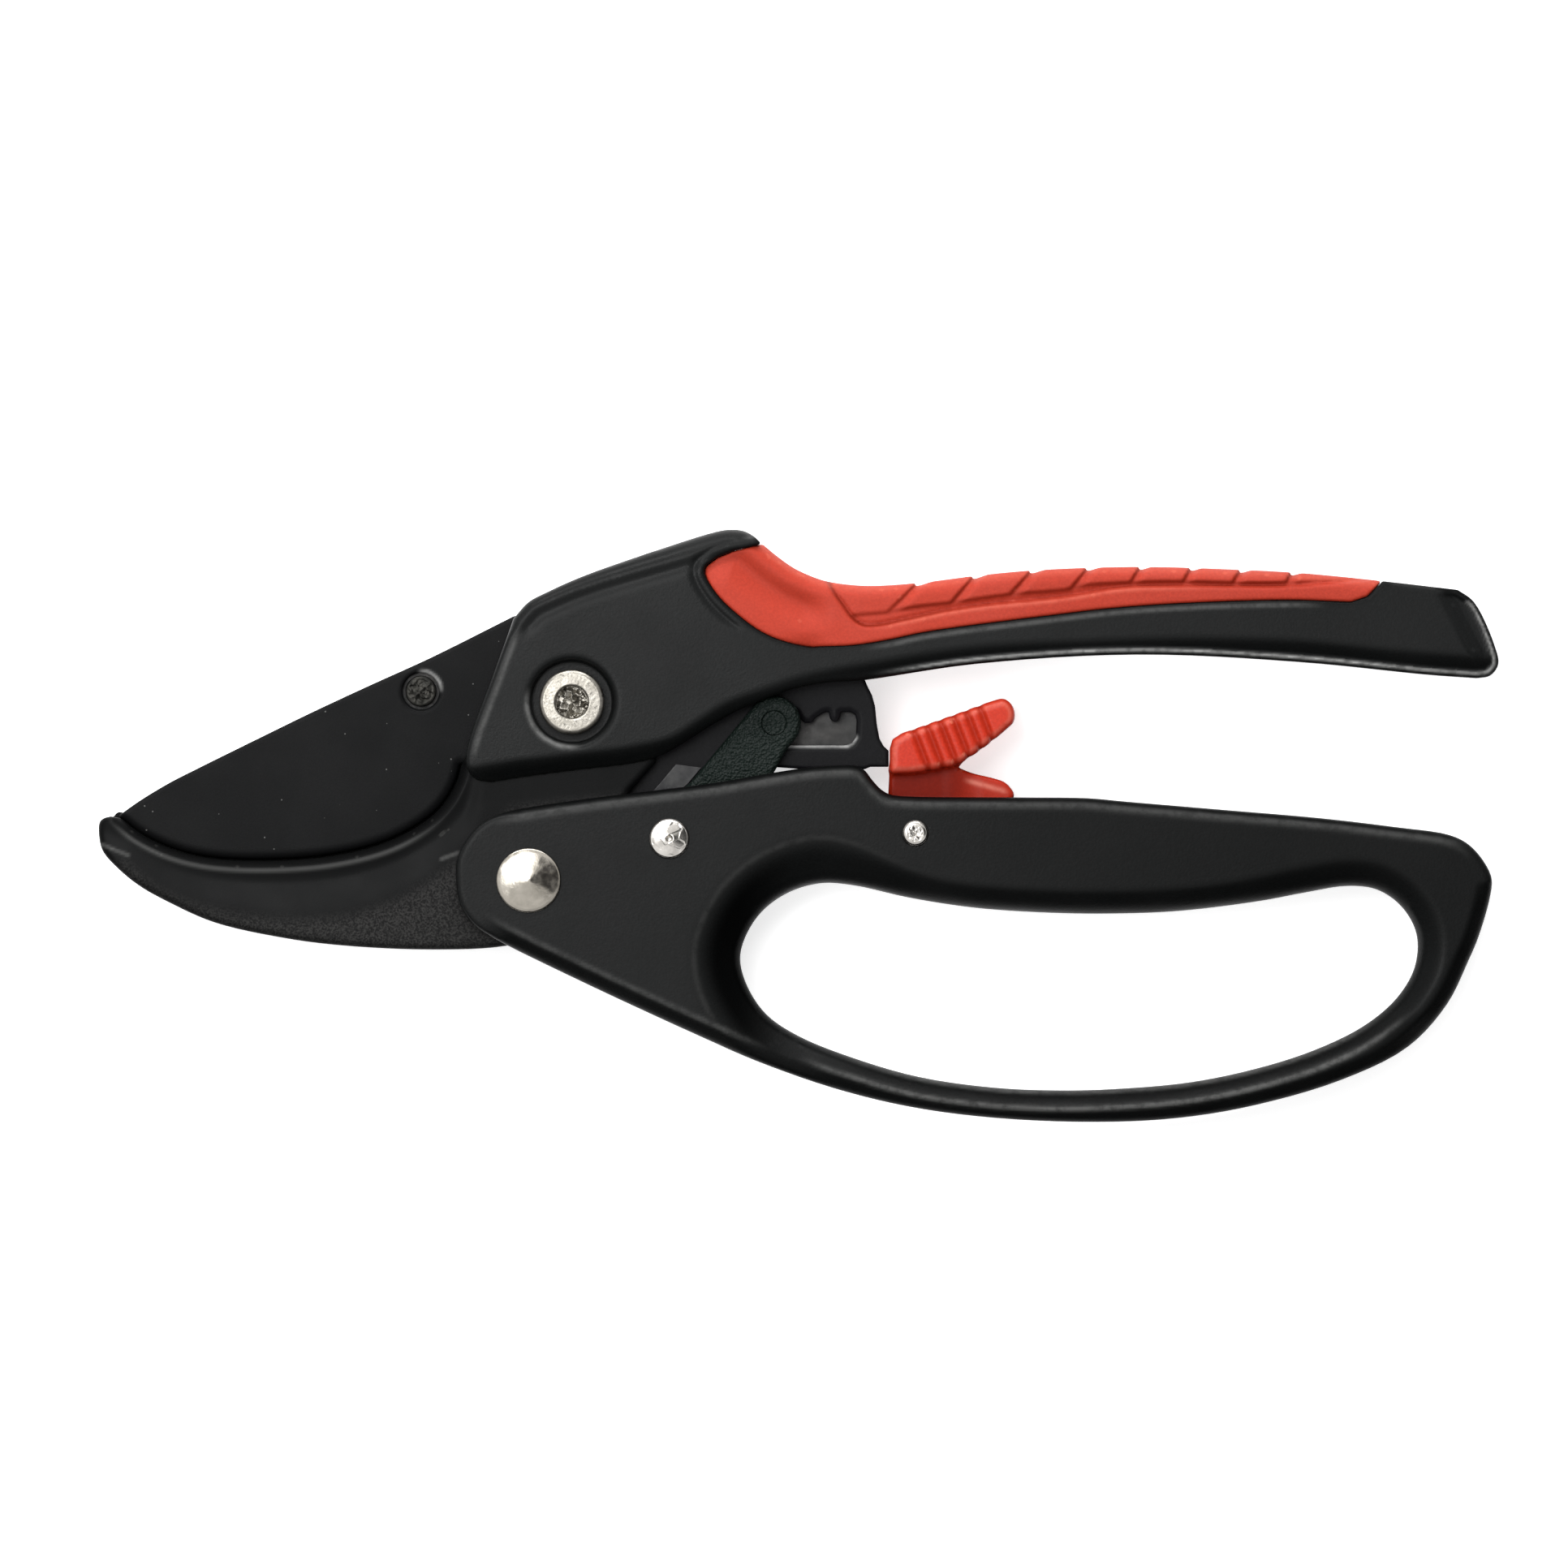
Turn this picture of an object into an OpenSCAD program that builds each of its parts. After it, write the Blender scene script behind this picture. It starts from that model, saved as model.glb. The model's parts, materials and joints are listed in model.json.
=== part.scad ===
// Ratchet anvil pruner, lying flat, jaws closed and latched.
// X runs from the jaws to the handle ends, Y towards the upper handle, Z up through the thickness.
// The outlines are drawn about the main pivot (0, 0) and then moved so that the origin is
// below the middle of the whole tool, on the face that it lies on.

/* [Handles] */
// Overall thickness of both handles
handle_w = 18; // [17:0.5:20]
// Thickness of each wall beside the channels inside the handles
wall = 3.2; // [2.8:0.1:3.2]
// Depth of the soft grip where it is laid into the upper handle
grip_t = 1.5; // [1:0.1:1.6]
// How far the thin bottom strand of the finger loop is set in from each face
strand_step = 1.6; // [0:0.2:2.4]

/* [Blade] */
// Thickness of the coated blade
blade_t = 2.2; // [1.8:0.1:2.2]
// Thickness of the carrier plate behind the blade
carrier_t = 2.4; // [2:0.1:2.4]

/* [Anvil] */
// Overall thickness of the anvil jaw
anvil_w = 11; // [10:0.2:11]
// Gap between the closed cutting edge and the anvil
edge_gap = 0.35; // [0.25:0.05:0.6]

/* [Pivots] */
// Diameter of the main pivot bolt's shank
main_d = 6; // [5:0.5:6]
// Diameter of the main pivot bolt's head
main_head_d = 9.6; // [9:0.2:10]
// Diameter of the lower pivot rivet's shank
lower_d = 5; // [4:0.5:5]
// Diameter of the link rivet's shank
link_d = 4; // [3:0.5:4]
// Diameter of the latch rivet's shank
latch_d = 3; // [2.5:0.5:3]
// Radial running clearance of each pivot
run_gap = 0.06; // [0.03:0.01:0.1]

/* [Ratchet] */
// Diameter of the stud that the link pushes the teeth with
stud_d = 2; // [1.8:0.1:2]
// Lowest point of the middle tooth, measured down from the top of the window
tooth_h = 1.6; // [1.2:0.1:1.6]

/* [Latch] */
// Width of the thumb pad through the tool's thickness
pad_w = 13; // [11:0.5:14]
// Number of ribs on the thumb pad
ribs = 7; // [4:1:7]

/* [Hidden] */
centre = [33.7, -18.3];
half = handle_w / 2;
chan = half - wall;
ao = anvil_w / 2;
front_in = blade_t + 0.4;
rear_in = -carrier_t - 0.4;
M = [0, 0];
L = [-6.4, -26.4];
K = [14.4, -20.2];
P = [29.9, -3.1];
S = [50.8, -19.4];
B = [-22.3, 1.6];
charcoal = [0.13, 0.135, 0.14];
coat = [0.1, 0.1, 0.105];
steel = [0.72, 0.71, 0.68];
red = [0.83, 0.2, 0.14];
greenblack = [0.1, 0.13, 0.12];

// A smooth curve through hand-placed points, with n steps between each two.
function dist(a, b) = max(norm(a - b), 0.001);
function mix2(a, b, ta, tb, t) = (a * (tb - t) + b * (t - ta)) / (tb - ta);
function cr(p0, p1, p2, p3, u) =
    let (t1 = sqrt(dist(p0, p1)), t2 = t1 + sqrt(dist(p1, p2)), t3 = t2 + sqrt(dist(p2, p3)),
        t = t1 + (t2 - t1) * u,
        a1 = mix2(p0, p1, 0, t1, t), a2 = mix2(p1, p2, t1, t2, t), a3 = mix2(p2, p3, t2, t3, t),
        b1 = mix2(a1, a2, 0, t2, t), b2 = mix2(a2, a3, t1, t3, t))
    mix2(b1, b2, t1, t2, t);
function curve(p, n = 3) = let (k = len(p) - 1) [
    for (i = [0 : k - 1], j = [0 : n - 1])
        cr(i > 0 ? p[i - 1] : 2 * p[0] - p[1], p[i], p[i + 1],
            i < k - 1 ? p[i + 2] : 2 * p[k] - p[k - 1], j / n),
    p[k]];
function loop_curve(p, n = 3) = let (k = len(p)) [
    for (i = [0 : k - 1], j = [0 : n - 1])
        cr(p[(i + k - 1) % k], p[i], p[(i + 1) % k], p[(i + 2) % k], j / n)];
function arc(c, r, a0, a1, n = 8) = [for (i = [0 : n]) c + r * [cos(a0 + (a1 - a0) * i / n), sin(a0 + (a1 - a0) * i / n)]];
function shifted(p, d) = [for (q = p) q + d];

// ---- outlines, about the main pivot ----
upper_left = [[-8.6, 12.4], [-9.6, 9.6], [-11.8, 3.6], [-15.6, -7.4], [-15.4, -10], [-14, -11.6], [-11.6, -12.2]];
upper_low = [[-11.6, -12.2], [-0.5, -10.5], [10, -9.2], [13, -8.2], [16.4, -6.2], [20.6, -3.5], [24.7, -1.2],
    [29.3, 0.8], [33.4, 2.1], [37.8, 2.9], [43, 3.2], [59.5, 5.6], [83.5, 7], [107.5, 5.9], [126.7, 4], [133.8, 3.5]];
upper_end = [[133.8, 3.5], [135.8, 3.9], [137, 5.6], [136.5, 8.2], [133.4, 14.8], [131, 16.6]];
upper_top = [[131, 16.6], [119.8, 17.9], [107.5, 19.1], [95.5, 19.7], [83.5, 20], [68.5, 19.5], [59.9, 18.7],
    [52, 17.7], [45.1, 17.2], [41.6, 17.3], [37.5, 17.9], [34.7, 18.9], [32.7, 19.9], [30.3, 21.6], [27.9, 23.6]];
upper_head = [[27.9, 23.6], [26.8, 24.6], [25.4, 25.3], [23.5, 25.5], [21.4, 25.2], [13, 22.6], [1.6, 18.6],
    [-3.8, 16.2], [-6.4, 14.8], [-8.6, 12.4]];
upper_outline = concat(curve(upper_left), curve(upper_low, 4), curve(upper_end), curve(upper_top), curve(upper_head));

upper_hollow = concat([[-30, -30], [-30, 9], [-9.4, 17], [-6.6, 13.2], [-3.4, 13]],
    curve([[4, 15.4], [14, 18.8], [21, 20.8], [25, 20.4], [30, 16.6], [34, 14.6], [38, 13.6], [44, 13.2],
        [52, 13.8], [60, 14.8], [83.5, 16], [107.5, 15.2], [119, 13.8]]),
    [[127, 12.4], [129, 10.5], [129, -8], [60, -8], [60, -30]]);

grip_low = [[19.8, 20.2], [19.6, 19.2], [21.4, 16], [24.8, 12.7], [28.2, 10.3], [31.6, 8.9], [35.5, 8.1],
    [36.9, 8.2], [41.6, 8.4], [46.8, 9.2], [52, 10.3], [58.8, 11.3], [65.8, 12.2], [71.5, 12.9], [79, 13.8],
    [89.9, 14.6], [106, 15.1], [115.2, 14.8]];
grip_zone = concat([[28, 30], [27.9, 23.3], [23.8, 22.3], [21.5, 21.4]], curve(grip_low),
    [[117.6, 15.6], [119.6, 17.6], [120.2, 18.4], [120.2, 30]]);
grip_core = concat([[10, 0]], [for (q = curve(upper_top)) q - [0, 1.5]], [[20, 22.4], [10, 22.4]]);

blade_spine = [[-67, -16.8], [-63.9, -14.6], [-59.6, -12], [-55.3, -9.8], [-46.8, -5.6], [-38.2, -1.4],
    [-29.6, 2.6], [-21, 6.5], [-8.4, 12.8]];
contact = [[-16.6, -9.2], [-17.2, -11.4], [-18.6, -14.1], [-21, -16.7], [-25.3, -19.4], [-29.6, -21.1], [-36, -22.5],
    [-42.5, -23.1], [-50.2, -23.1], [-55.3, -22.5], [-59.6, -21.3], [-63.9, -19.2], [-67, -16.8]];
blade_outline = concat(curve(blade_spine), [[-5, 12], [0, 11.8]], arc(M, 9.5, 80, -110, 14), [[-12, -8.4]], curve(contact));

anvil_low = [[-69.1, -17.1], [-69.8, -17.7], [-69.8, -20.6], [-69.2, -22.3], [-66.9, -24.8], [-63.9, -27.2], [-59.6, -29.6],
    [-52.8, -32.6], [-42.5, -34.9], [-33.9, -36], [-21, -36.6], [-10, -36.1], [-4, -34.4], [0.4, -31], [2.4, -26.4]];
anvil_outline = concat(curve(anvil_low), [[3.8, -21.4], [8.7, -13.1], [12.5, -8.9], [12.2, -4]],
    arc(M, 9.6, 0, 160, 14), [[-13.4, -3]], shifted(curve(contact), [0.2, -edge_gap]), [[-68.2, -16.9]]);
anvil_slot = [[-19, -3], [-16.2, -14], [-13, -20], [-12.6, -45], [20, -45], [20, 15], [-19, 15]];

carrier_outline = concat(arc(B, 3.6, 90, 250, 8), [[-12, -6.4]], arc(M, 8, 215, 285, 4),
    [[8, -10.4], [9.6, -12.6], [14, -13.4], [20, -12.8], [26, -11.4], [29.5, -9.6], [46.85, -9.6], [46.85, -7.2],
    [46.1, -6.5], [45.5, -5.4], [45.1, -3.2], [44.85, -0.6], [44.4, 1], [43.7, 2.4], [43.2, 3.6], [43.2, 11.6],
    [41.6, 12.8], [34, 12.8], [32.4, 11], [31.2, 5.4], [24, 1], [16.6, -4], [12.6, -4.8], [9.5, -4]], arc(M, 8.6, 350, 450, 8), [[-8, 8]]);
rack_outline = [[9.8, -12.4], [14, -13.2], [20, -12.6], [26, -11.2], [29.5, -9.6], [46.85, -9.6], [46.85, -7.2],
    [46.1, -6.5], [45.5, -5.4], [45.1, -3.2], [44.85, -0.6], [44.4, 1], [43.7, 2.4], [43.2, 3.6], [43.2, 11.6],
    [41.6, 12.8], [34, 12.8], [32.4, 11], [31, 5.2], [24, 0.8], [16.6, -4.2], [12.6, -6.6], [11.4, -9.4]];
wt = -1.5;
function tooth(x, w, h) = [[x - w, wt], [x - w * 0.55, wt - h * 0.6], [x, wt - h], [x + w * 0.55, wt - h * 0.6], [x + w, wt]];
window = concat([[28, -2.2], [28.6, wt]], tooth(32, 0.8, 0.9), [[33.2, wt], [33.7, -2.5], [34.4, -3.1], [35.5, -3.1], [36, -2.4], [36.9, -1.8],
    [37.5, wt]], [for (q = arc([38.9, wt], 0.9, 180, 360, 6)) [q[0], wt + (q[1] - wt) * tooth_h / 0.95]],
    [[41.2, wt], [41.9, -1.9], [42.1, -2.8], [42, -5.2], [41.4, -6.1], [40.4, -6.4], [28.8, -6.4], [28, -5.6]]);

lower_out = [[-17.1, -26.4], [-16.9, -23], [-15.3, -20], [-13.4, -18], [-10.5, -16.5], [-7.6, -15.8], [1.6, -14.4],
    [11.3, -13.2], [21.4, -11.9], [29.5, -10.5], [35.5, -9.6], [39.6, -9.35], [41.8, -9.4],
    [43.2, -10], [44.4, -11.5], [45.65, -12.85], [46.9, -13.6], [48.8, -13.9], [65.5, -14.1], [76.2, -14.2], [81.8, -14.7], [96, -15.9], [111.1, -17.2], [122, -18.5], [129.6, -19.6],
    [132.4, -20.9], [134.6, -23.2], [136, -26], [135.8, -28.7], [134, -34.9], [132.6, -38.2], [129.4, -44.7],
    [123.6, -51], [114, -55.8], [101.1, -59.6], [89.8, -61.5], [77.8, -62.1], [62.5, -61.5], [49.7, -59.8],
    [38.4, -57], [27.1, -53], [19.8, -49.8], [9.7, -45.2], [-0.5, -40.4], [-9.5, -36], [-12.2, -34.5],
    [-14.6, -32.8], [-16.5, -30]];
loop_in = [[24.9, -38.1], [25.6, -34.9], [28, -31.1], [32, -28.2], [36.8, -26.8], [41.6, -27.1], [49.7, -28.9],
    [59.3, -30.4], [69, -31.1], [78.6, -31.3], [89.8, -30.9], [101.9, -29.4], [108.3, -28.2], [114.8, -27.2],
    [119.2, -27.8], [122.8, -30.4], [124.9, -34.4], [124.6, -39.2], [122, -43.7], [117.2, -47.8], [109.9, -51.4],
    [101.1, -54.2], [91.4, -56.2], [80.2, -57.2], [72, -57.4], [62.5, -57], [51.3, -55.4], [41.6, -52.6],
    [33.6, -49.4], [28.8, -46.2], [26, -42.1]];
lower_hollow = concat([[-30, 0], [-30, -60], [-4, -60], [0.5, -44], [3.4, -38.6]],
    curve([[8, -40.6], [13, -42.8], [17, -43.6], [19.6, -41], [19.8, -36], [22.4, -29.6], [28, -24.4], [36, -22.6],
        [46, -24.4], [58, -26]]), [[70, -26.2], [76, -24.6], [76.6, -20], [76.6, -5], [60, 0]]);
strand_zone = concat([[34, -70]], [[36, -53.8], [44, -53.6], [60, -55.6], [77, -56.2], [92, -55], [104, -52], [114, -47.6]],
    [[140, -49], [140, -70]]);

link_outline = concat(arc(P, 4, 130, -32, 10), curve([[31.8, -7], [29.9, -10.4], [27, -15], [23.6, -19.4], [19.3, -22.6]], 2),
    arc(K, 5, -50, -210, 10), [[17.4, -12]]);

latch_pad = concat([[46.98, -10.1], [47, -6.9], [47.4, -5.5], [48.8, -4.6]], curve([[48.8, -4.6], [57.5, -1.5], [62.3, 0.2],
    [63.8, 0.5], [64.9, -0.2], [65.5, -1.6], [65.3, -3], [64.2, -4.1], [61.8, -6.1], [59.6, -7.7], [56.9, -9.4]], 2),
    [[55.3, -9.7], [52.8, -10.2], [50.3, -10.5], [47.4, -10.6]]);
latch_body = concat([[46.98, -9.9], [48, -8], [57.6, -8.6], [57.2, -9.7]], curve([[57.2, -9.7], [59.2, -10.5], [62.1, -11.2],
    [63.9, -11.8], [64.9, -12.7], [65.4, -13.8], [64.4, -15.2], [61, -16.2], [57.6, -17.8], [55, -20.2]], 2),
    arc(S, 4.2, -10, -180, 10), [[46.6, -17]]);

// ---- helpers ----
module placed() translate([-centre[0], -centre[1], half]) children();
module slab(z0, z1, pts) translate([0, 0, z0]) linear_extrude(z1 - z0) polygon(pts);
module rod(c, d, z0, z1) translate([c[0], c[1], z0]) cylinder(h = z1 - z0, d = d, $fn = 64);
// A low domed rivet head standing on z0.
module dome(c, d, z0, h) translate([c[0], c[1], z0]) rotate_extrude($fn = 64)
    polygon(concat([[0, 0], [d / 2, 0]], [for (a = [0 : 15 : 75]) [d / 2 * cos(a), 0.35 * h + 0.65 * h * sin(a)]], [[0, h]]));
module ring(c, d_out, d_in, z0, z1) difference() {
    rod(c, d_out, z0, z1);
    rod(c, d_in, z0 - 1, z1 + 1);
}

// ---- upper handle and all that turns with it ----
module upper_handle() color(charcoal) placed() difference() {
    slab(-half, half, upper_outline);
    slab(-chan, chan, upper_hollow);
    difference() {
        slab(-half - 1, half + 1, grip_zone);
        slab(-half + grip_t, half - grip_t, grip_core);
    }
    rod(M, main_d, -half - 1, half + 1);
    rod(M, 12.2, half - 2.2, half + 1);
    rod(M, 12.6, -half - 1, -half + 2.2);
    rod([37, 8.6], 3, -half + 1.7, half - 1.7);
    rod([41.3, 10.6], 3, -half + 1.7, half - 1.7);
}

module upper_grip() color(red) placed() difference() {
    intersection() {
        slab(-half, half, upper_outline);
        slab(-half - 1, half + 1, grip_zone);
    }
    slab(-half + grip_t, half - grip_t, grip_core);
}

module blade() color(coat) placed() difference() {
    slab(0, blade_t, blade_outline);
    rod(M, main_d, -1, blade_t + 1);
    rod(B, 5.4, -1, blade_t + 1);
}

module blade_screw() color(coat) placed() difference() {
    union() {
        rod(B, 3.4, -carrier_t, 0.2);
        rod(B, 4.6, 0, blade_t - 0.2);
    }
    translate([B[0], B[1], blade_t - 1.2]) for (a = [0, 60, 120]) rotate(a) translate([-1.1, -0.25, 0]) cube([2.2, 0.5, 2]);
}

module blade_carrier() color([0.3, 0.3, 0.3]) placed() difference() {
    slab(-carrier_t, 0, carrier_outline);
    rod(M, main_d, -carrier_t - 1, 1);
    rod(B, 3.4, -carrier_t - 1, 1);
    rod([25.6, -6.6], 2.4, -carrier_t - 1, 1);
    rod([37, 8.6], 3, -carrier_t - 1, 1);
    rod([41.3, 10.6], 3, -carrier_t - 1, 1);
}

module ratchet_rack() color(coat) placed() difference() {
    slab(0, blade_t, rack_outline);
    slab(-1, blade_t + 1, window);
    rod([25.6, -6.6], 2.4, -1, blade_t + 1);
    rod([37, 8.6], 3, -1, blade_t + 1);
    rod([41.3, 10.6], 3, -1, blade_t + 1);
}

module rack_rivet() color(steel) placed() rod([25.6, -6.6], 2.4, -carrier_t, blade_t);

module carrier_pins() color(steel) placed() {
    rod([37, 8.6], 3, -half + 1.8, half - 1.8);
    rod([41.3, 10.6], 3, -half + 1.8, half - 1.8);
}

module main_pivot_bolt() color(steel) placed() difference() {
    union() {
        rod(M, main_d, -half + 0.3, half - 2);
        rod(M, main_head_d, half - 2.2, half - 0.4);
        rod(M, main_head_d - 0.8, half - 0.5, half - 0.1);
    }
    rod(M, 4.8, half - 1.5, half + 1);
}

module main_pivot_nut() color(steel) placed() difference() {
    translate([0, 0, -half + 0.3]) cylinder(h = 1.9, d = 10.8, $fn = 6);
    rod(M, main_d, -half - 1, half);
}

module pivot_washers() color(steel) placed() {
    ring(M, 14, main_d + 0.04, ao + 0.05, chan);
    ring(M, 14, main_d + 0.04, -chan, -ao - 0.05);
}

// ---- anvil jaw ----
module anvil_jaw() color(coat) placed() difference() {
    slab(-ao, ao, anvil_outline);
    slab(rear_in, front_in, anvil_slot);
    rod(M, 39, rear_in, front_in);
    rod(L, 16, rear_in, front_in);
    rod(M, main_d + 2 * run_gap, -half, half);
    rod(L, lower_d + 2 * run_gap, -half, half);
}

// ---- lower handle and what turns with it ----
module lower_handle() color(charcoal) placed() difference() {
    slab(-half, half, loop_curve(lower_out));
    slab(-half - 1, half + 1, loop_curve(loop_in));
    slab(-chan, chan, lower_hollow);
    slab(half - strand_step, half + 1, strand_zone);
    slab(-half - 1, -half + strand_step, strand_zone);
    rod(L, lower_d, -half - 1, half + 1);
    rod(L, 9.6, -half - 1, -half + 1.6);
    rod(K, link_d, -half - 1, half + 1);
    rod(K, 7, -half - 1, -half + 1.4);
    rod(S, latch_d, -half - 1, half + 1);
    rod(S, 5.4, -half - 1, -half + 1.2);
}

module lower_pivot_rivet() color(steel) placed() {
    rod(L, lower_d, -half + 0.1, half);
    dome(L, 9.6, half, 1.3);
}

module lower_pivot_washer() color(steel) placed() ring(L, 9.4, lower_d, -half + 0.5, -half + 1.6);

module spring_bush() color([0.85, 0.84, 0.8]) placed() ring(L, 7, lower_d, rear_in + 0.1, front_in - 0.1);

// The coils around the lower pivot drawn as one sleeve, with the two wire legs.
module return_spring() color(steel) placed() {
    ring(L, 11.8, 9, -2.2, 2.1);
    translate([L[0], L[1], -1.5]) rotate([0, 0, 133]) translate([0, 5.2, 0]) rotate([0, 90, 0]) cylinder(h = 4.6, d = 1.3, $fn = 24);
    translate([L[0], L[1], 1.4]) rotate([0, 0, -38]) translate([0, -5.2, 0]) rotate([0, 90, 0]) cylinder(h = 13, d = 1.3, $fn = 24);
}

module link_rivet() color(steel) placed() difference() {
    union() {
        rod(K, link_d, -half + 0.1, half);
        dome(K, 6, half, 0.9);
    }
    translate([K[0], K[1], half + 0.5]) cylinder(h = 1, d1 = 0.6, d2 = 1.8, $fn = 24);
}

module link_rivet_washer() color(steel) placed() ring(K, 6.8, link_d, -half + 0.4, -half + 1.4);

module latch_rivet() color(steel) placed() {
    rod(S, latch_d, -half + 0.1, half);
    dome(S, 4, half, 0.6);
}

module latch_rivet_washer() color(steel) placed() ring(S, 5.2, latch_d, -half + 0.3, -half + 1.2);

// ---- ratchet link ----
module link_arm() color(greenblack) placed() difference() {
    union() {
        slab(front_in + 0.1, ao, link_outline);
        rod(K, 9, -ao, front_in + 0.2);
    }
    rod(K, link_d + 2 * run_gap, -half, half);
    rod(P, 3.5, front_in - 1, ao + 1);
}

module ratchet_stud() color(greenblack) placed() {
    rod(P, 3.5, front_in + 0.1, ao);
    rod(P, stud_d, 0.3, front_in + 0.2);
}

// A flat spring beside the link that holds it up against the teeth.
module link_spring() color(steel) placed() {
    slab(front_in + 0.5, front_in + 1.3, [[15.4, -9.2], [19.2, -9.7], [17.2, -12.1], [10.4, -17.4], [9.4, -16], [12.7, -12.4]]);
}

// ---- thumb latch ----
module thumb_latch() color(red) placed() difference() {
    union() {
        difference() {
            slab(-pad_w / 2, pad_w / 2, latch_pad);
            for (i = [0 : ribs - 1], s = [-1, 1])
                translate([49.4 + 2.1 * i, -7.2 + 1.05 * i, s * (pad_w / 2 + 0.2)]) rotate([0, 0, 27])
                    translate([0, -9, 0]) rotate([-90, 0, 0]) cylinder(h = 18, d = 1.1, $fn = 24);
        }
        slab(-ao + 0.1, ao - 0.1, latch_body);
    }
    rod(S, latch_d + 2 * run_gap, -half, half);
}

module latch_washers() color(steel) placed() {
    ring(S, 7, latch_d, ao - 0.06, chan);
    ring(S, 7, latch_d, -chan, -ao + 0.06);
}

upper_handle();
upper_grip();
blade();
blade_screw();
blade_carrier();
ratchet_rack();
rack_rivet();
carrier_pins();
main_pivot_bolt();
main_pivot_nut();
pivot_washers();
anvil_jaw();
lower_handle();
lower_pivot_rivet();
lower_pivot_washer();
spring_bush();
return_spring();
link_rivet();
link_rivet_washer();
latch_rivet();
latch_rivet_washer();
link_arm();
ratchet_stud();
link_spring();
thumb_latch();
latch_washers();
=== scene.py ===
import json
import math

import bpy
import numpy as np
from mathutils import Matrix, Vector, noise


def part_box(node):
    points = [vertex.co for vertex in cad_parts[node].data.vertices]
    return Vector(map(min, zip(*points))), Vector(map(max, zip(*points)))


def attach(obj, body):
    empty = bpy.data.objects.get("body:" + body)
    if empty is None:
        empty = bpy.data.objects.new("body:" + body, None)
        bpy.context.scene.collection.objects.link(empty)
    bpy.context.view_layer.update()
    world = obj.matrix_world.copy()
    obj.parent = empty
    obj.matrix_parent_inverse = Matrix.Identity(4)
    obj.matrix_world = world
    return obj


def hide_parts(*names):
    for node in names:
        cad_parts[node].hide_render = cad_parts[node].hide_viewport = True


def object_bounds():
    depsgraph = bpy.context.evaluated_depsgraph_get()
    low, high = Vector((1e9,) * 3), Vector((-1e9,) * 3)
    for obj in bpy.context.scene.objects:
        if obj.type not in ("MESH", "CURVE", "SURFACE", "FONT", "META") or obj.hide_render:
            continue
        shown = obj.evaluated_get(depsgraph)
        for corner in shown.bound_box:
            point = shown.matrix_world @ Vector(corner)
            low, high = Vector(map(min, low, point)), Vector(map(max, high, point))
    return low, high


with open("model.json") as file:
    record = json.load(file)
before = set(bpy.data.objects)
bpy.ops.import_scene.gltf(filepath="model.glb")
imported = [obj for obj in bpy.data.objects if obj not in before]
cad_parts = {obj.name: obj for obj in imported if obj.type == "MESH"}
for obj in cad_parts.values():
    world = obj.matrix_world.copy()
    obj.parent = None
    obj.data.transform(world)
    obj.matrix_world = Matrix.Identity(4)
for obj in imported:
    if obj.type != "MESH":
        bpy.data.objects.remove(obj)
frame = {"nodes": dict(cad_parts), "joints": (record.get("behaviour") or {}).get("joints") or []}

CAD_LO, CAD_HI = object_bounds()

# ---------------------------------------------------------------- places, from the frame
JOINT = {j["name"]: j for j in frame["joints"]}
M0 = np.array(JOINT["jaw_pivot"]["pos_m"]) * 1000.0          # main pivot, row frame, mm


def about_main(name):
    p = np.array(JOINT[name]["pos_m"]) * 1000.0 - M0
    return p[0], p[1]


M = (0.0, 0.0)
L = about_main("handle_pivot")
K = about_main("link_pivot")
S = about_main("latch_pivot")


def node_mid(name):
    lo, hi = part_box(name)
    return ((lo.x + hi.x) * 500 - M0[0], (lo.y + hi.y) * 500 - M0[1])


def node_z(name):
    lo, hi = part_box(name)
    return lo.z * 1000 - M0[2], hi.z * 1000 - M0[2]


P = node_mid("ratchet_stud")
B = node_mid("blade_screw")
HALF = node_z("upper_handle")[1]
CHAN = HALF - 3.2
GRIP_T = 1.5
AO = node_z("anvil_jaw")[1]
BLADE_T = node_z("blade")[1]


def to_row(v):
    return (np.asarray(v, float) + M0) / 1000.0


# ---------------------------------------------------------------- curves
def cr(p0, p1, p2, p3, u):
    def d(a, b):
        return max(math.hypot(a[0] - b[0], a[1] - b[1]), 0.001)
    p0, p1, p2, p3 = (np.array(q, float) for q in (p0, p1, p2, p3))
    t1 = math.sqrt(d(p0, p1)); t2 = t1 + math.sqrt(d(p1, p2)); t3 = t2 + math.sqrt(d(p2, p3))
    t = t1 + (t2 - t1) * u
    mx = lambda a, b, ta, tb: (a * (tb - t) + b * (t - ta)) / (tb - ta)
    a1, a2, a3 = mx(p0, p1, 0, t1), mx(p1, p2, t1, t2), mx(p2, p3, t2, t3)
    b1, b2 = mx(a1, a2, 0, t2), mx(a2, a3, t1, t3)
    return mx(b1, b2, t1, t2)


def curve(p, n=6):
    k = len(p) - 1
    p = [np.array(q, float) for q in p]
    out = [cr(p[i - 1] if i > 0 else 2 * p[0] - p[1], p[i], p[i + 1],
              p[i + 2] if i < k - 1 else 2 * p[k] - p[k - 1], j / n) for i in range(k) for j in range(n)]
    return [tuple(q) for q in out] + [tuple(p[k])]


def loop_curve(p, n=6):
    k = len(p)
    return [tuple(cr(p[(i - 1) % k], p[i], p[(i + 1) % k], p[(i + 2) % k], j / n)) for i in range(k) for j in range(n)]


def arc(c, r, a0, a1, n=12):
    return [(c[0] + r * math.cos(math.radians(a0 + (a1 - a0) * i / n)),
             c[1] + r * math.sin(math.radians(a0 + (a1 - a0) * i / n))) for i in range(n + 1)]


def shifted(p, d):
    return [(q[0] + d[0], q[1] + d[1]) for q in p]


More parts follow.
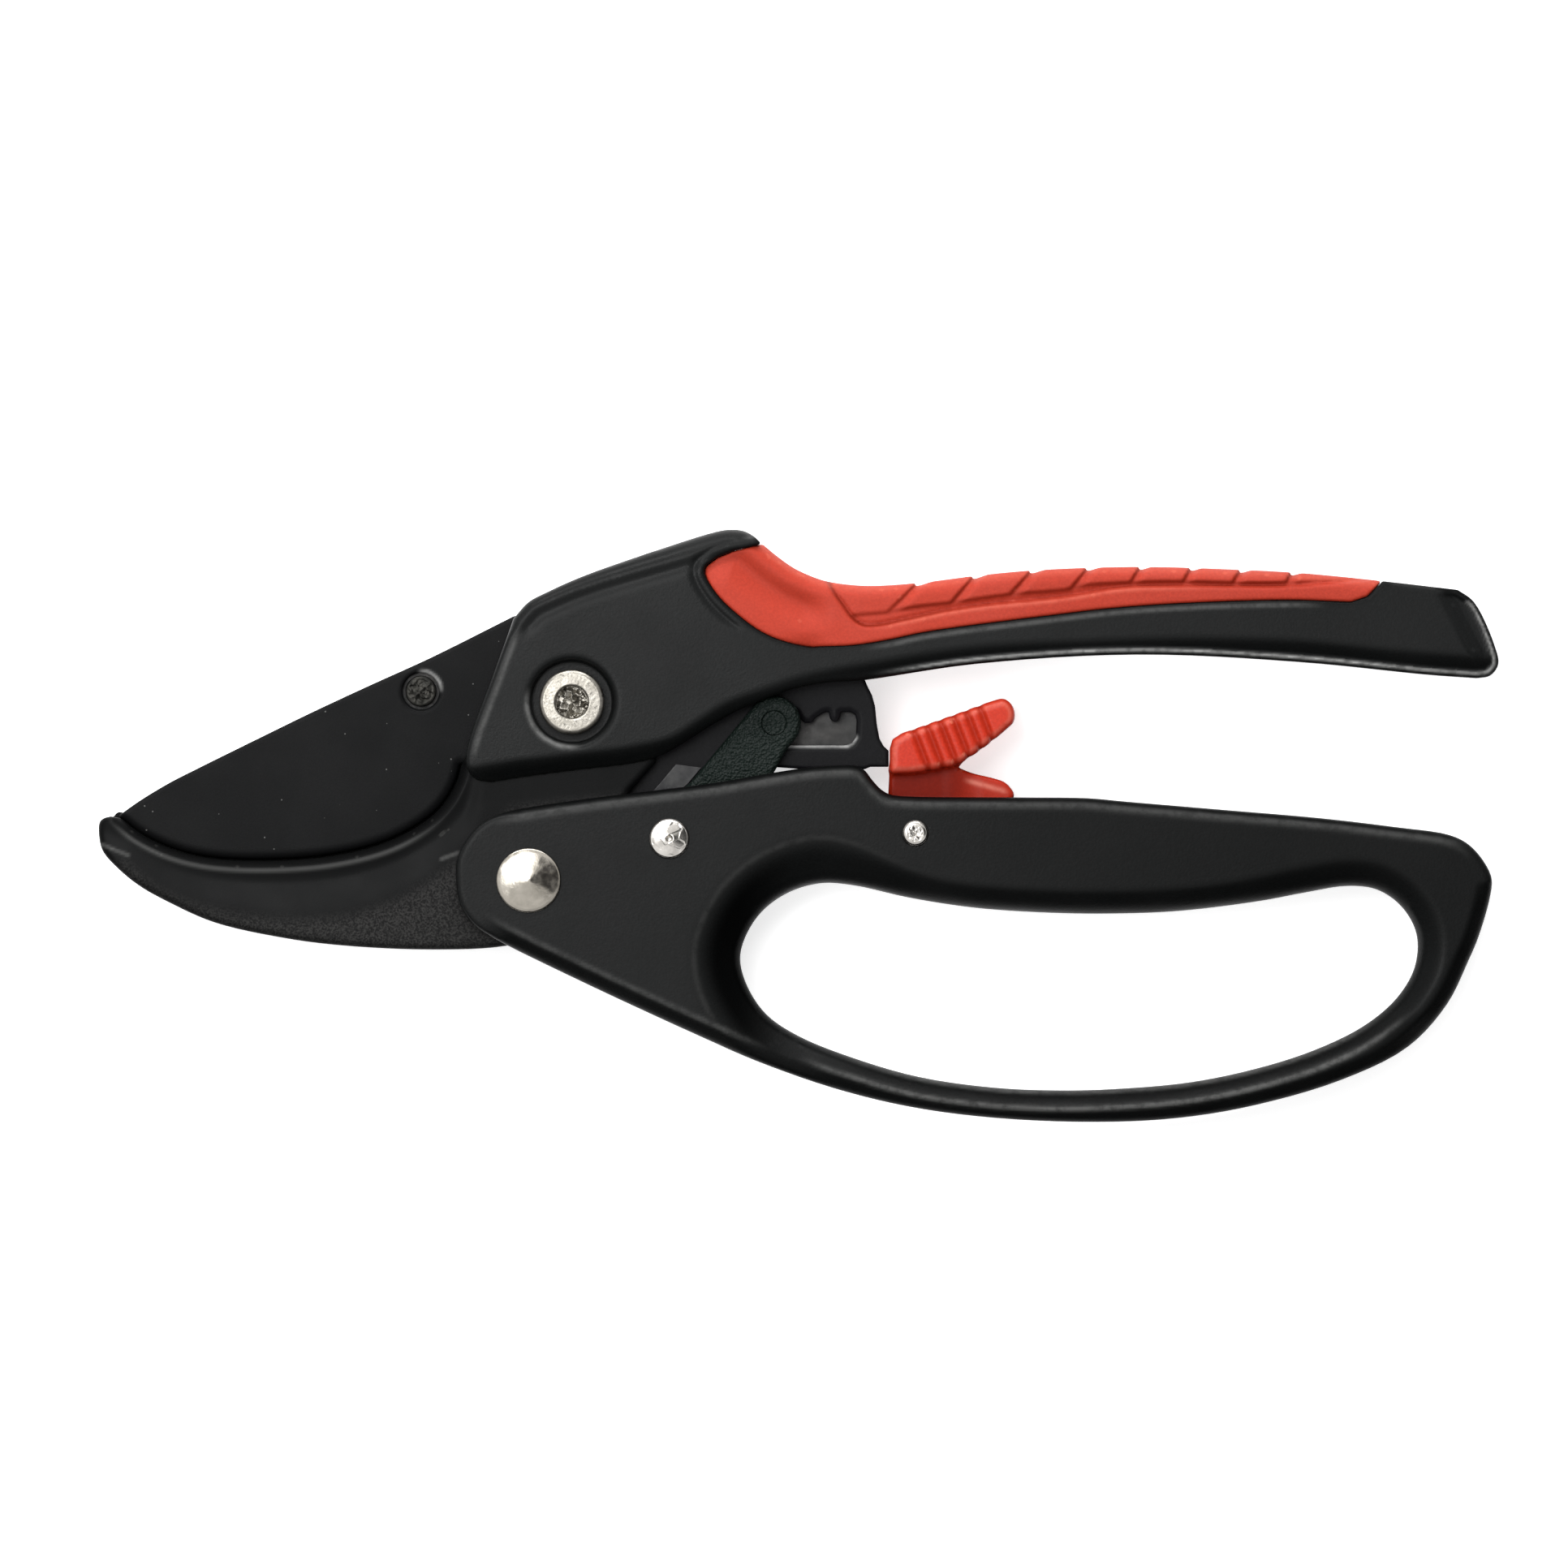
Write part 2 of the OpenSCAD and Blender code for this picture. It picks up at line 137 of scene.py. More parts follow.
upper_left = [[-8.6, 12.4], [-9.6, 9.6], [-11.8, 3.6], [-15.6, -7.4], [-15.4, -10], [-14, -11.6], [-11.6, -12.2]]
upper_low = [[-11.6, -12.2], [-0.5, -10.5], [10, -9.2], [13, -8.2], [16.4, -6.2], [20.6, -3.5], [24.7, -1.2],
    [29.3, 0.8], [33.4, 2.1], [37.8, 2.9], [43, 3.2], [59.5, 5.6], [83.5, 7], [107.5, 5.9], [126.7, 4], [133.8, 3.5]]
upper_end = [[133.8, 3.5], [135.8, 3.9], [137, 5.6], [136.5, 8.2], [133.4, 14.8], [131, 16.6]]
upper_top = [[131, 16.6], [119.8, 17.9], [107.5, 19.1], [95.5, 19.7], [83.5, 20], [68.5, 19.5], [59.9, 18.7],
    [52, 17.7], [45.1, 17.2], [41.6, 17.3], [37.5, 17.9], [34.7, 18.9], [32.7, 19.9], [30.3, 21.6], [27.9, 23.6]]
upper_head = [[27.9, 23.6], [26.8, 24.6], [25.4, 25.3], [23.5, 25.5], [21.4, 25.2], [13, 22.6], [1.6, 18.6],
    [-3.8, 16.2], [-6.4, 14.8], [-8.6, 12.4]]
upper_outline = curve(upper_left) + curve(upper_low) + curve(upper_end) + curve(upper_top) + curve(upper_head)
upper_hollow = [[-30, -30], [-30, 9], [-9.4, 17], [-6.6, 13.2], [-3.4, 13]] + curve([[4, 15.4], [14, 18.8],
    [21, 20.8], [25, 20.4], [30, 16.6], [34, 14.6], [38, 13.6], [44, 13.2], [52, 13.8], [60, 14.8], [83.5, 16],
    [107.5, 15.2], [119, 13.8]]) + [[127, 12.4], [129, 10.5], [129, -8], [60, -8], [60, -30]]
grip_low = [[19.8, 20.2], [19.6, 19.2], [21.4, 16], [24.8, 12.7], [28.2, 10.3], [31.6, 8.9], [35.5, 8.1],
    [36.9, 8.2], [41.6, 8.4], [46.8, 9.2], [52, 10.3], [58.8, 11.3], [65.8, 12.2], [71.5, 12.9], [79, 13.8],
    [89.9, 14.6], [106, 15.1], [115.2, 14.8]]
grip_zone = [[28, 30], [27.9, 23.3], [23.8, 22.3], [21.5, 21.4]] + curve(grip_low) + \
    [[117.6, 15.6], [119.6, 17.6], [120.2, 18.4], [120.2, 30]]
grip_core = [[10, 0]] + shifted(curve(upper_top), (0, -1.5)) + [[20, 22.4], [10, 22.4]]
blade_spine = [[-67, -16.8], [-63.9, -14.6], [-59.6, -12], [-55.3, -9.8], [-46.8, -5.6], [-38.2, -1.4],
    [-29.6, 2.6], [-21, 6.5], [-8.4, 12.8]]
contact = [[-16.6, -9.2], [-17.2, -11.4], [-18.6, -14.1], [-21, -16.7], [-25.3, -19.4], [-29.6, -21.1], [-36, -22.5],
    [-42.5, -23.1], [-50.2, -23.1], [-55.3, -22.5], [-59.6, -21.3], [-63.9, -19.2], [-67, -16.8]]
blade_outline = curve(blade_spine) + [[-5, 12], [0, 11.8]] + arc(M, 9.5, 80, -110, 20) + [[-12, -8.4]] + curve(contact)
anvil_low = [[-69.1, -17.1], [-69.8, -17.7], [-69.8, -20.6], [-69.2, -22.3], [-66.9, -24.8], [-63.9, -27.2], [-59.6, -29.6],
    [-52.8, -32.6], [-42.5, -34.9], [-33.9, -36], [-21, -36.6], [-10, -36.1], [-4, -34.4], [0.4, -31], [2.4, -26.4]]
anvil_outline = curve(anvil_low) + [[3.8, -21.4], [8.7, -13.1], [12.5, -8.9], [12.2, -4]] + arc(M, 9.6, 0, 160, 20) + \
    [[-13.4, -3]] + shifted(curve(contact), (0.2, -0.35)) + [[-68.2, -16.9]]
anvil_slot = [[-19, -3], [-16.2, -14], [-13, -20], [-12.6, -45], [20, -45], [20, 15], [-19, 15]]
rack_outline = [[7.2, -14.2], [14, -14.2], [20, -13.4], [26, -11.4], [29.5, -9.6], [34.5, -9.95], [43.3, -9.95], [44.1, -9.6], [46.85, -9.6], [46.85, -7.2],
    [46.1, -6.5], [45.5, -5.4], [45.1, -3.2], [44.85, -0.6], [44.4, 1], [43.7, 2.4], [43.2, 3.6], [43.2, 11.6],
    [41.6, 12.8], [34, 12.8], [32.4, 11], [31, 5.2], [24, 0.8], [16.6, -4.2], [12.2, -6.6], [9.8, -9.4]]
WT = -1.5


def tooth(x, w, h):
    return [[x - w, WT], [x - w * 0.55, WT - h * 0.6], [x, WT - h], [x + w * 0.55, WT - h * 0.6], [x + w, WT]]


window = [[28, -2.2], [28.6, WT]] + tooth(32, 0.8, 0.9) + [[33.2, WT], [33.7, -2.5], [34.4, -3.1], [35.5, -3.1], [36, -2.4], [36.9, -1.8],
    [37.5, WT]] + [[q[0], WT + (q[1] - WT) * 1.6 / 0.95] for q in arc((38.9, WT), 0.9, 180, 360, 8)] + \
    [[41.2, WT], [41.9, -1.9], [42.1, -2.8], [42, -5.2], [41.4, -6.1], [40.4, -6.4], [28.8, -6.4], [28, -5.6]]
lower_out = [[-17.1, -26.4], [-16.9, -23], [-15.3, -20], [-13.4, -18], [-10.5, -16.5], [-7.6, -15.8], [1.6, -14.4],
    [11.3, -13.2], [21.4, -11.9], [29.5, -10.5], [35.5, -9.6], [39.6, -9.35], [41.8, -9.4],
    [43.2, -10], [44.4, -11.5], [45.65, -12.85], [46.9, -13.6], [48.8, -13.9], [65.5, -14.1], [76.2, -14.2], [81.8, -14.7], [96, -15.9], [111.1, -17.2], [122, -18.5], [129.6, -19.6],
    [132.4, -20.9], [134.6, -23.2], [136, -26], [135.8, -28.7], [134, -34.9], [132.6, -38.2], [129.4, -44.7],
    [123.6, -51], [114, -55.8], [101.1, -59.6], [89.8, -61.5], [77.8, -62.1], [62.5, -61.5], [49.7, -59.8],
    [38.4, -57], [27.1, -53], [19.8, -49.8], [9.7, -45.2], [-0.5, -40.4], [-9.5, -36], [-12.2, -34.5],
    [-14.6, -32.8], [-16.5, -30]]
loop_in = [[24.9, -38.1], [25.6, -34.9], [28, -31.1], [32, -28.2], [36.8, -26.8], [41.6, -27.1], [49.7, -28.9],
    [59.3, -30.4], [69, -31.1], [78.6, -31.3], [89.8, -30.9], [101.9, -29.4], [108.3, -28.2], [114.8, -27.2],
    [119.2, -27.8], [122.8, -30.4], [124.9, -34.4], [124.6, -39.2], [122, -43.7], [117.2, -47.8], [109.9, -51.4],
    [101.1, -54.2], [91.4, -56.2], [80.2, -57.2], [72, -57.4], [62.5, -57], [51.3, -55.4], [41.6, -52.6],
    [33.6, -49.4], [28.8, -46.2], [26, -42.1]]
lower_hollow = [[-30, 0], [-30, -60], [-4, -60], [0.5, -44], [3.4, -38.6]] + curve([[8, -40.6], [13, -42.8],
    [17, -43.6], [19.6, -41], [19.8, -36], [22.4, -29.6], [28, -24.4], [36, -22.6], [46, -24.4], [58, -26]]) + \
    [[70, -26.2], [76, -24.6], [76.6, -20], [76.6, -5], [60, 0]]
strand_zone = [[34, -70], [36, -53.8], [44, -53.6], [60, -55.6], [77, -56.2], [92, -55], [104, -52], [114, -47.6],
    [140, -49], [140, -70]]
link_outline = arc(P, 4, 130, -32, 14) + curve([[31.8, -7], [29.9, -10.4], [27, -15], [23.6, -19.4], [19.3, -22.6]], 4) + \
    arc(K, 5, -50, -210, 14) + [[17.4, -12]]
latch_pad = [[46.98, -10.1], [47, -6.9], [47.4, -5.5], [48.8, -4.6]] + curve([[48.8, -4.6], [57.5, -1.5], [62.3, 0.2],
    [63.8, 0.5], [64.9, -0.2], [65.5, -1.6], [65.3, -3], [64.2, -4.1], [61.8, -6.1], [59.6, -7.7], [56.9, -9.4]], 4) + \
    [[55.3, -9.7], [52.8, -10.2], [50.3, -10.5], [47.4, -10.6]]
latch_body = [[46.98, -9.9], [48, -8], [57.6, -8.6], [57.2, -9.7]] + curve([[57.2, -9.7], [59.2, -10.5], [62.1, -11.2],
    [63.9, -11.8], [64.9, -12.7], [65.4, -13.8], [64.4, -15.2], [61, -16.2], [57.6, -17.8], [55, -20.2]], 4) + \
    arc(S, 4.2, -10, -180, 14) + [[46.6, -17]]


# ---------------------------------------------------------------- distance fields
def sdf(poly, X, Y):
    """Signed distance to a closed polygon over a grid, negative inside."""
    pts = np.array([p for i, p in enumerate(poly)
                    if math.hypot(p[0] - poly[i - 1][0], p[1] - poly[i - 1][1]) > 1e-6], np.float32)
    d2 = np.full(np.broadcast(X, Y).shape, 1e9, np.float32)
    inside = np.zeros(d2.shape, bool)
    for (x0, y0), (x1, y1) in zip(pts, np.roll(pts, -1, 0)):
        ex, ey = x1 - x0, y1 - y0
        wx, wy = X - x0, Y - y0
        t = np.clip((wx * ex + wy * ey) / (ex * ex + ey * ey), 0, 1)
        d2 = np.minimum(d2, (wx - ex * t) ** 2 + (wy - ey * t) ** 2)
        if y0 != y1:
            c = (y0 <= Y) != (y1 <= Y)
            inside ^= c & (X < x0 + (Y - y0) * (ex / ey))
    return np.where(inside, -1, 1).astype(np.float32) * np.sqrt(d2)


def S5(t):
    t = np.clip(t, 0, 1)
    return t * t * (3 - 2 * t)


def smax(a, b, k):
    h = np.maximum(k - np.abs(a - b), 0) / k
    return np.maximum(a, b) + h * h * k * 0.25


def smin(a, b, k):
    return -smax(-a, -b, k)


def rext(d, H, r, Z, lo=None):
    """Rounded extrusion of a plane distance d between -H and H, or between lo and H."""
    d = np.asarray(d)[:, :, None]
    H = np.asarray(H)
    H = H[:, :, None] if H.ndim == 2 else H
    r = np.asarray(r)
    r = r[:, :, None] if r.ndim == 2 else r
    b = np.abs(Z) - H if lo is None else np.maximum(Z - H, lo - Z)
    a = d + r
    b = b + r
    return np.minimum(np.maximum(a, b), 0) + np.sqrt(np.maximum(a, 0) ** 2 + np.maximum(b, 0) ** 2) - r


def ramp(t, w):
    """0 below 0, then rising at slope 1 after a blend of width w."""
    return np.where(t < 0, 0, np.where(t < w, 0.5 * t * t / w, t - 0.5 * w))


def grid(x0, x1, y0, y1, h):
    return np.arange(x0, x1 + h, h, dtype=np.float32), np.arange(y0, y1 + h, h, dtype=np.float32)


def trilinear(F, xs, ys, zs, p):
    def loc(a, v):
        i = np.clip(np.searchsorted(a, v) - 1, 0, len(a) - 2)
        return i, np.clip((v - a[i]) / (a[i + 1] - a[i]), 0, 1)
    i, u = loc(xs, p[:, 0]); j, v = loc(ys, p[:, 1]); k, w = loc(zs, p[:, 2])
    out = 0
    for a in (0, 1):
        for b in (0, 1):
            for c in (0, 1):
                out = out + F[i + a, j + b, k + c] * ((u if a else 1 - u) * (v if b else 1 - v) * (w if c else 1 - w))
    return out


def nets(F, xs, ys, zs):
    """Surface nets: vertices and outward quads of the surface F = 0, F negative inside."""
    s = F < 0
    cnt = np.zeros(tuple(n - 1 for n in F.shape), np.int8)
    for a in (0, 1):
        for b in (0, 1):
            for c in (0, 1):
                cnt += s[a:F.shape[0] - 1 + a, b:F.shape[1] - 1 + b, c:F.shape[2] - 1 + c]
    act = (cnt > 0) & (cnt < 8)
    I, Jx, Kx = np.nonzero(act)
    ids = np.full(cnt.shape, -1, np.int64)
    ids[I, Jx, Kx] = np.arange(len(I))
    acc = np.zeros((len(I), 3)); wgt = np.zeros(len(I))
    corners = [(a, b, c) for a in (0, 1) for b in (0, 1) for c in (0, 1)]
    for a in corners:
        for ax in range(3):
            if a[ax]:
                continue
            b = list(a); b[ax] = 1
            fa = F[I + a[0], Jx + a[1], Kx + a[2]]; fb = F[I + b[0], Jx + b[1], Kx + b[2]]
            m = (fa < 0) != (fb < 0)
            t = np.where(m, fa / np.where(m, fa - fb, 1), 0)
            pa = np.stack([xs[I + a[0]], ys[Jx + a[1]], zs[Kx + a[2]]], 1)
            pb = np.stack([xs[I + b[0]], ys[Jx + b[1]], zs[Kx + b[2]]], 1)
            acc += np.where(m[:, None], pa + (pb - pa) * t[:, None], 0)
            wgt += m
    V = acc / wgt[:, None]
    quads = []
    nx, ny, nz = F.shape
    e = s[:-1, 1:-1, 1:-1] != s[1:, 1:-1, 1:-1]
    i, j, k = np.nonzero(e); j = j + 1; k = k + 1
    q = np.stack([ids[i, j - 1, k - 1], ids[i, j, k - 1], ids[i, j, k], ids[i, j - 1, k]], 1)
    quads.append(np.where(s[i, j, k][:, None], q, q[:, ::-1]))
    e = s[1:-1, :-1, 1:-1] != s[1:-1, 1:, 1:-1]
    i, j, k = np.nonzero(e); i = i + 1; k = k + 1
    q = np.stack([ids[i - 1, j, k - 1], ids[i - 1, j, k], ids[i, j, k], ids[i, j, k - 1]], 1)
    quads.append(np.where(s[i, j, k][:, None], q, q[:, ::-1]))
    e = s[1:-1, 1:-1, :-1] != s[1:-1, 1:-1, 1:]
    i, j, k = np.nonzero(e); i = i + 1; j = j + 1
    q = np.stack([ids[i - 1, j - 1, k], ids[i, j - 1, k], ids[i, j, k], ids[i - 1, j, k]], 1)
    quads.append(np.where(s[i, j, k][:, None], q, q[:, ::-1]))
    return V, np.concatenate(quads)


def build(name, V, faces, normals=None, smooth=True):
    me = bpy.data.meshes.new(name)
    me.from_pydata(to_row(V).tolist(), [], [list(map(int, f)) for f in faces])
    me.update()
    if smooth:
        me.polygons.foreach_set("use_smooth", [True] * len(me.polygons))
        if normals is not None:
            me.normals_split_custom_set_from_vertices(normals.tolist())
    o = bpy.data.objects.new(name, me)
    bpy.context.scene.collection.objects.link(o)
    return o


def field_piece(name, F, xs, ys, zs):
    """The surface of a field as a piece, its points drawn onto the surface and its normals taken from the field."""
    F = F.astype(np.float32)
    V, Q = nets(F, xs, ys, zs)
    G = np.gradient(F, xs, ys, zs)
    hx = min(xs[1] - xs[0], 0.4)
    for _ in range(2):
        g = np.stack([trilinear(c, xs, ys, zs, V) for c in G], 1)
        f = trilinear(F, xs, ys, zs, V)
        step = -(f / np.maximum((g * g).sum(1), 0.2))[:, None] * g
        V = V + np.clip(step, -0.3 * hx, 0.3 * hx)
    g = np.stack([trilinear(c, xs, ys, zs, V) for c in G], 1)
    n = g / np.maximum(np.linalg.norm(g, axis=1, keepdims=True), 1e-6)
    return build(name, V, Q, n)


def paint(o, name, field, xs, ys, zfn=None):
    """A point attribute from a plane field, for painted highlights and for painted shade in hollows, grooves and along
    edges.
    """
    co = np.empty(len(o.data.vertices) * 3, np.float32)
    o.data.vertices.foreach_get("co", co)
    co = co.reshape(-1, 3) * 1000 - M0
    i = np.clip(((co[:, 0] - xs[0]) / (xs[1] - xs[0])).astype(int), 0, len(xs) - 2)
    j = np.clip(((co[:, 1] - ys[0]) / (ys[1] - ys[0])).astype(int), 0, len(ys) - 2)
    u = np.clip((co[:, 0] - xs[i]) / (xs[1] - xs[0]), 0, 1)
    v = np.clip((co[:, 1] - ys[j]) / (ys[1] - ys[0]), 0, 1)
    f = field[i, j] * (1 - u) * (1 - v) + field[i + 1, j] * u * (1 - v) + field[i, j + 1] * (1 - u) * v + field[i + 1, j + 1] * u * v
    if zfn is not None:
        f = f * zfn(co[:, 2])
    a = o.data.attributes.new(name, "FLOAT", "POINT")
    a.data.foreach_set("value", np.clip(f, 0, 1).astype(np.float32))
    return o


def bell(t, w):
    return np.exp(-(t / w) ** 2)


def z_handles(h=0.3):
    top = np.arange(CHAN - 0.75, HALF + 0.65, h)
    mid = np.linspace(-(CHAN - 1.5), CHAN - 1.5, 9)
    return np.concatenate([-top[::-1], mid, top]).astype(np.float32)


# ---------------------------------------------------------------- the shells
def make_upper():
    xs, ys = grid(-16.6, 138.2, -13.2, 26.6, 0.28)
    zs = z_handles()
    X, Y = np.meshgrid(xs, ys, indexing="ij")
    Z = zs[None, None, :]
    d = sdf(upper_outline, X, Y)
    dg = sdf(grip_zone, X, Y)
    crease = [(-40, -10.6), (-15.6, -9.4), (-8, -8.1), (0, -7.2)] + curve([(4.3, -6.7), (8.6, -6.1), (14.5, -4.7),
        (18.2, -2.4), (22.3, 0.2), (28.2, 2.5), (33.4, 4.3), (39.2, 5.6), (45, 6.6), (50.8, 7.6), (60.4, 8.9), (76.3, 9.7),
        (89.5, 10.1), (102.7, 10), (111.1, 9.5), (119.5, 8.6), (129.1, 7.8), (135.1, 7.4)]) + [(150, 7), (150, -40), (-40, -40)]
    dc = -sdf(crease, X, Y)
    head = S5((38 - X) / 26)
    drop = ramp(dc, 1.3) * (0.62 + 0.38 * head)
    # the thin bead along the beam's lower edge and round its end
    din = -d
    bead = S5((1.2 - din) / 0.5) * S5((X - 42) / 10) * S5(dc / 1.5)
    tend = 123.9 - (0.888 * X + 0.459 * Y)
    drop = drop + 0.9 * S5((3.1 - tend) / 2.4) * S5((Y + 8) / 6) * S5((24 - Y) / 6) * (X > 100)
    bead = np.maximum(bead, 0.9 * S5((1.1 - din) / 0.5) * S5((3.0 - tend) / 1.5) * (X > 100))
    H = HALF - drop + 0.62 * bead
    top = S5((Y - 9) / 3) * S5((30 - X) / 3)
    r = 0.75 + top * (0.75 + 1.3 * S5((X + 8) / 30)) + 0.8 * head * S5(dc / 2)
    r = r + (0.42 - r) * S5((1.6 - dg) / 0.9)
    r = r + (0.42 - r) * S5(bead)
    # the shallow channel just inside the rolled rim at the top of the head
    H = H - 0.28 * top * np.exp(-((din - 2.6 - 1.0 * S5((X + 8) / 30)) / 0.8) ** 2)
    shell = rext(np.maximum(d, -dg), H, r, Z)
    core = rext(np.maximum(sdf(grip_core, X, Y) + 0.1, d), HALF - GRIP_T - 0.1, 0.3, Z)
    F = np.minimum(shell, core)
    F = smax(F, -np.maximum(sdf(upper_hollow, X, Y)[:, :, None], np.abs(Z) - CHAN), 0.35)
    rm = np.hypot(X, Y)[:, :, None]
    F = smax(F, -np.maximum(rm - 6.1 - 0.28 * np.clip(Z - HALF + 1, 0, 2), HALF - 2.2 - Z), 0.9)
    F = smax(F, -np.maximum(rm - 6.3, HALF - 2.2 + Z), 0.6)
    F = np.maximum(F, 3.05 - rm)
    for c in ((37, 8.6), (41.3, 10.6)):
        F = np.maximum(F, -np.maximum(np.hypot(X - c[0], Y - c[1])[:, :, None] - 1.6, np.abs(Z) - (CHAN + 0.3)))
    o = field_piece("upper_handle_shell", F, xs, ys, zs)
    # painted shade: darker below the crease where head and beam turn down, beside the grip's edge, and along the beam's
    # lower edge and end
    low = S5(dc / 2.4)
    shade = np.maximum(0.42 * low * (1 - bell(din - 0.6, 0.5)) * S5((X + 16) / 4), 0.55 * bell(dg, 0.5) * (dg > 0))
    edge = 0.95 * bell(din, 0.42) * np.maximum(S5((X - 40) / 12) * S5(dc / 1.2), S5((3.4 - tend) / 1.0) * (X > 100))
    paint(o, "deep", np.maximum(shade, edge), xs, ys)
    # painted highlights: a pale line along the beam's bead and round the end, a pale crescent on the lower-left of the
    # pivot recess, a pale line below the grip and one down the head's left edge
    a = np.arctan2(Y, X)
    line = 0.66 * bell(din - 0.68, 0.17) * np.maximum(S5((X - 44) / 12) * S5(dc / 1.2), S5((3.4 - tend) / 1.0) * (X > 100) * (Y < 15))
    ring = 0.30 * bell(np.hypot(X, Y) - 6.65, 0.3) * S5((np.cos(a - math.radians(222)) - 0.45) / 0.4)
    under = 0.16 * bell(dg - 0.75, 0.25) * S5((X - 42) / 8) * S5((112 - X) / 6)
    left_line = 0.13 * bell(din - 1.25, 0.3) * S5((-5 - X) / 3) * S5((11 - Y) / 3) * S5((Y + 9) / 3)
    return paint(o, "painted_highlight", np.maximum.reduce([line, ring, under, left_line]), xs, ys, lambda z: (np.abs(z) > HALF - 3.5) * 1.0)


GROOVES = [((51.6, 17.7), (46.8, 13.0)), ((60, 18.8), (56.3, 14.5)), ((68.5, 19.6), (65, 15.7)), ((76.7, 19.9), (73.7, 16.2)),
    ((84.5, 20.2), (82.7, 17.3)), ((92, 20.1), (90.5, 17.4)), ((99.4, 19.8), (97.8, 17.3)), ((106.8, 19.3), (105.8, 17.4))]


def make_grip():
    xs, ys = grid(18.4, 121.4, 7.0, 25.4, 0.27)
    zs = np.concatenate([-np.arange(6.9, 9.7, 0.26)[::-1], np.linspace(-6.3, 6.3, 13), np.arange(6.9, 9.7, 0.26)]).astype(np.float32)
    X, Y = np.meshgrid(xs, ys, indexing="ij")
    Z = zs[None, None, :]
    d = sdf(upper_outline, X, Y)
    dg = sdf(grip_zone, X, Y)
    band = curve([(37.7, 17.9), (38.8, 16), (40, 14.3), (41.6, 12.2), (43, 11.3), (45.1, 11.25), (48.5, 11.9), (55.4, 13.4),
        (62.3, 14.4), (71.5, 15.3), (76, 16), (80, 16.7), (84, 17.0), (92, 17.1), (106, 17.0), (112, 17.3), (118, 17.9)]) + \
        [(119, 30), (37.7, 30)]
    db = sdf(band, X, Y)
    low = curve([(38, 11.8), (41.5, 12.6), (46.6, 13.1), (50.2, 13.8), (56.2, 14.5), (64.9, 15.7), (73, 16.4), (75.7, 17.0),
        (83.5, 17.5), (90.7, 17.6), (97.9, 17.4), (106.3, 17.5), (113.5, 17.8), (119.5, 18.2)]) + [(125, 30), (36, 30)]
    dl = sdf(low, X, Y)
    cut = np.zeros_like(X)
    for (x1, y1), (x0, y0) in GROOVES:
        ux, uy = x1 - x0, y1 - y0
        n = math.hypot(ux, uy)
        t = ((X - x0) * ux + (Y - y0) * uy) / n
        w = ((X - x0) * uy - (Y - y0) * ux) / n
        # a steep wall on the left of each groove and a long soft one on its right
        g = np.where(w < 0, S5((w + 0.55) / 0.45), S5((1.25 - w) / 1.25))
        cut = np.maximum(cut, g * S5((t + 0.6) / 0.8))
    inband = S5(-db / 0.32)
    seg = S5(-dl / 0.4) * (1 - cut)
    first = 1 - 0.55 * S5((51 - X) / 5)
    H = HALF - inband * 0.62 + inband * seg * 0.5 * first - 0.42 * np.exp(-((db + 0.2) / 0.28) ** 2) * S5((112 - X) / 10)
    # the thumb rest: a shallow saddle behind a raised rim
    din = -d
    thumb = S5((39 - X) / 5)
    H = H - 1.15 * thumb * np.exp(-((din - 4.4) / 2.1) ** 2)
    notch = 0.42 * cut * S5(-db / 0.3)
    r_top = 2.1 + 0.7 * thumb
    body = rext(d + notch * S5((2.2 - din) / 1.5), H, r_top, Z)
    F = smax(body, dg[:, :, None], 0.6)
    core = np.maximum(sdf(grip_core, X, Y)[:, :, None], np.abs(Z) - (HALF - GRIP_T))
    F = smax(F, -core, 0.12)
    o = field_piece("soft_grip", F, xs, ys, zs)
    # painted shade: the grooves' walls, the step line at the band's edge, the segments' lower edges, the thumb saddle
    # and the groove ends at the top edge
    wall = np.zeros_like(X)
    for (x1, y1), (x0, y0) in GROOVES:
        ux, uy = x1 - x0, y1 - y0
        n = math.hypot(ux, uy)
        t = ((X - x0) * ux + (Y - y0) * uy) / n
        w = ((X - x0) * uy - (Y - y0) * ux) / n
        wall = np.maximum(wall, bell(w + 0.35, 0.22) * S5((t + 0.4) / 0.6))
    step = 0.75 * bell(db + 0.12, 0.24) * (0.35 + 0.65 * S5((70 - X) / 25)) * S5((112 - X) / 8)
    edge = 0.5 * bell(dl + 0.2, 0.25) * inband * S5((112 - X) / 8)
    saddle = 0.16 * thumb * bell(din - 4.2, 1.5) * S5((X - 21) / 6)
    tops = 0.45 * S5((1.2 - din) / 1.2) * S5((X - 52) / 8) * cut
    paint(o, "deep", np.maximum.reduce([step, 0.5 * wall * inband, edge, saddle, tops]), xs, ys)
    # painted highlight: a pale line just inside the band's step and paler along the outer edge
    return paint(o, "painted_highlight", 0.3 * bell(db - 0.35, 0.25) * S5((X - 44) / 6) * S5((100 - X) / 20) + 0.15 * bell(din - 0.5, 0.4), xs, ys)


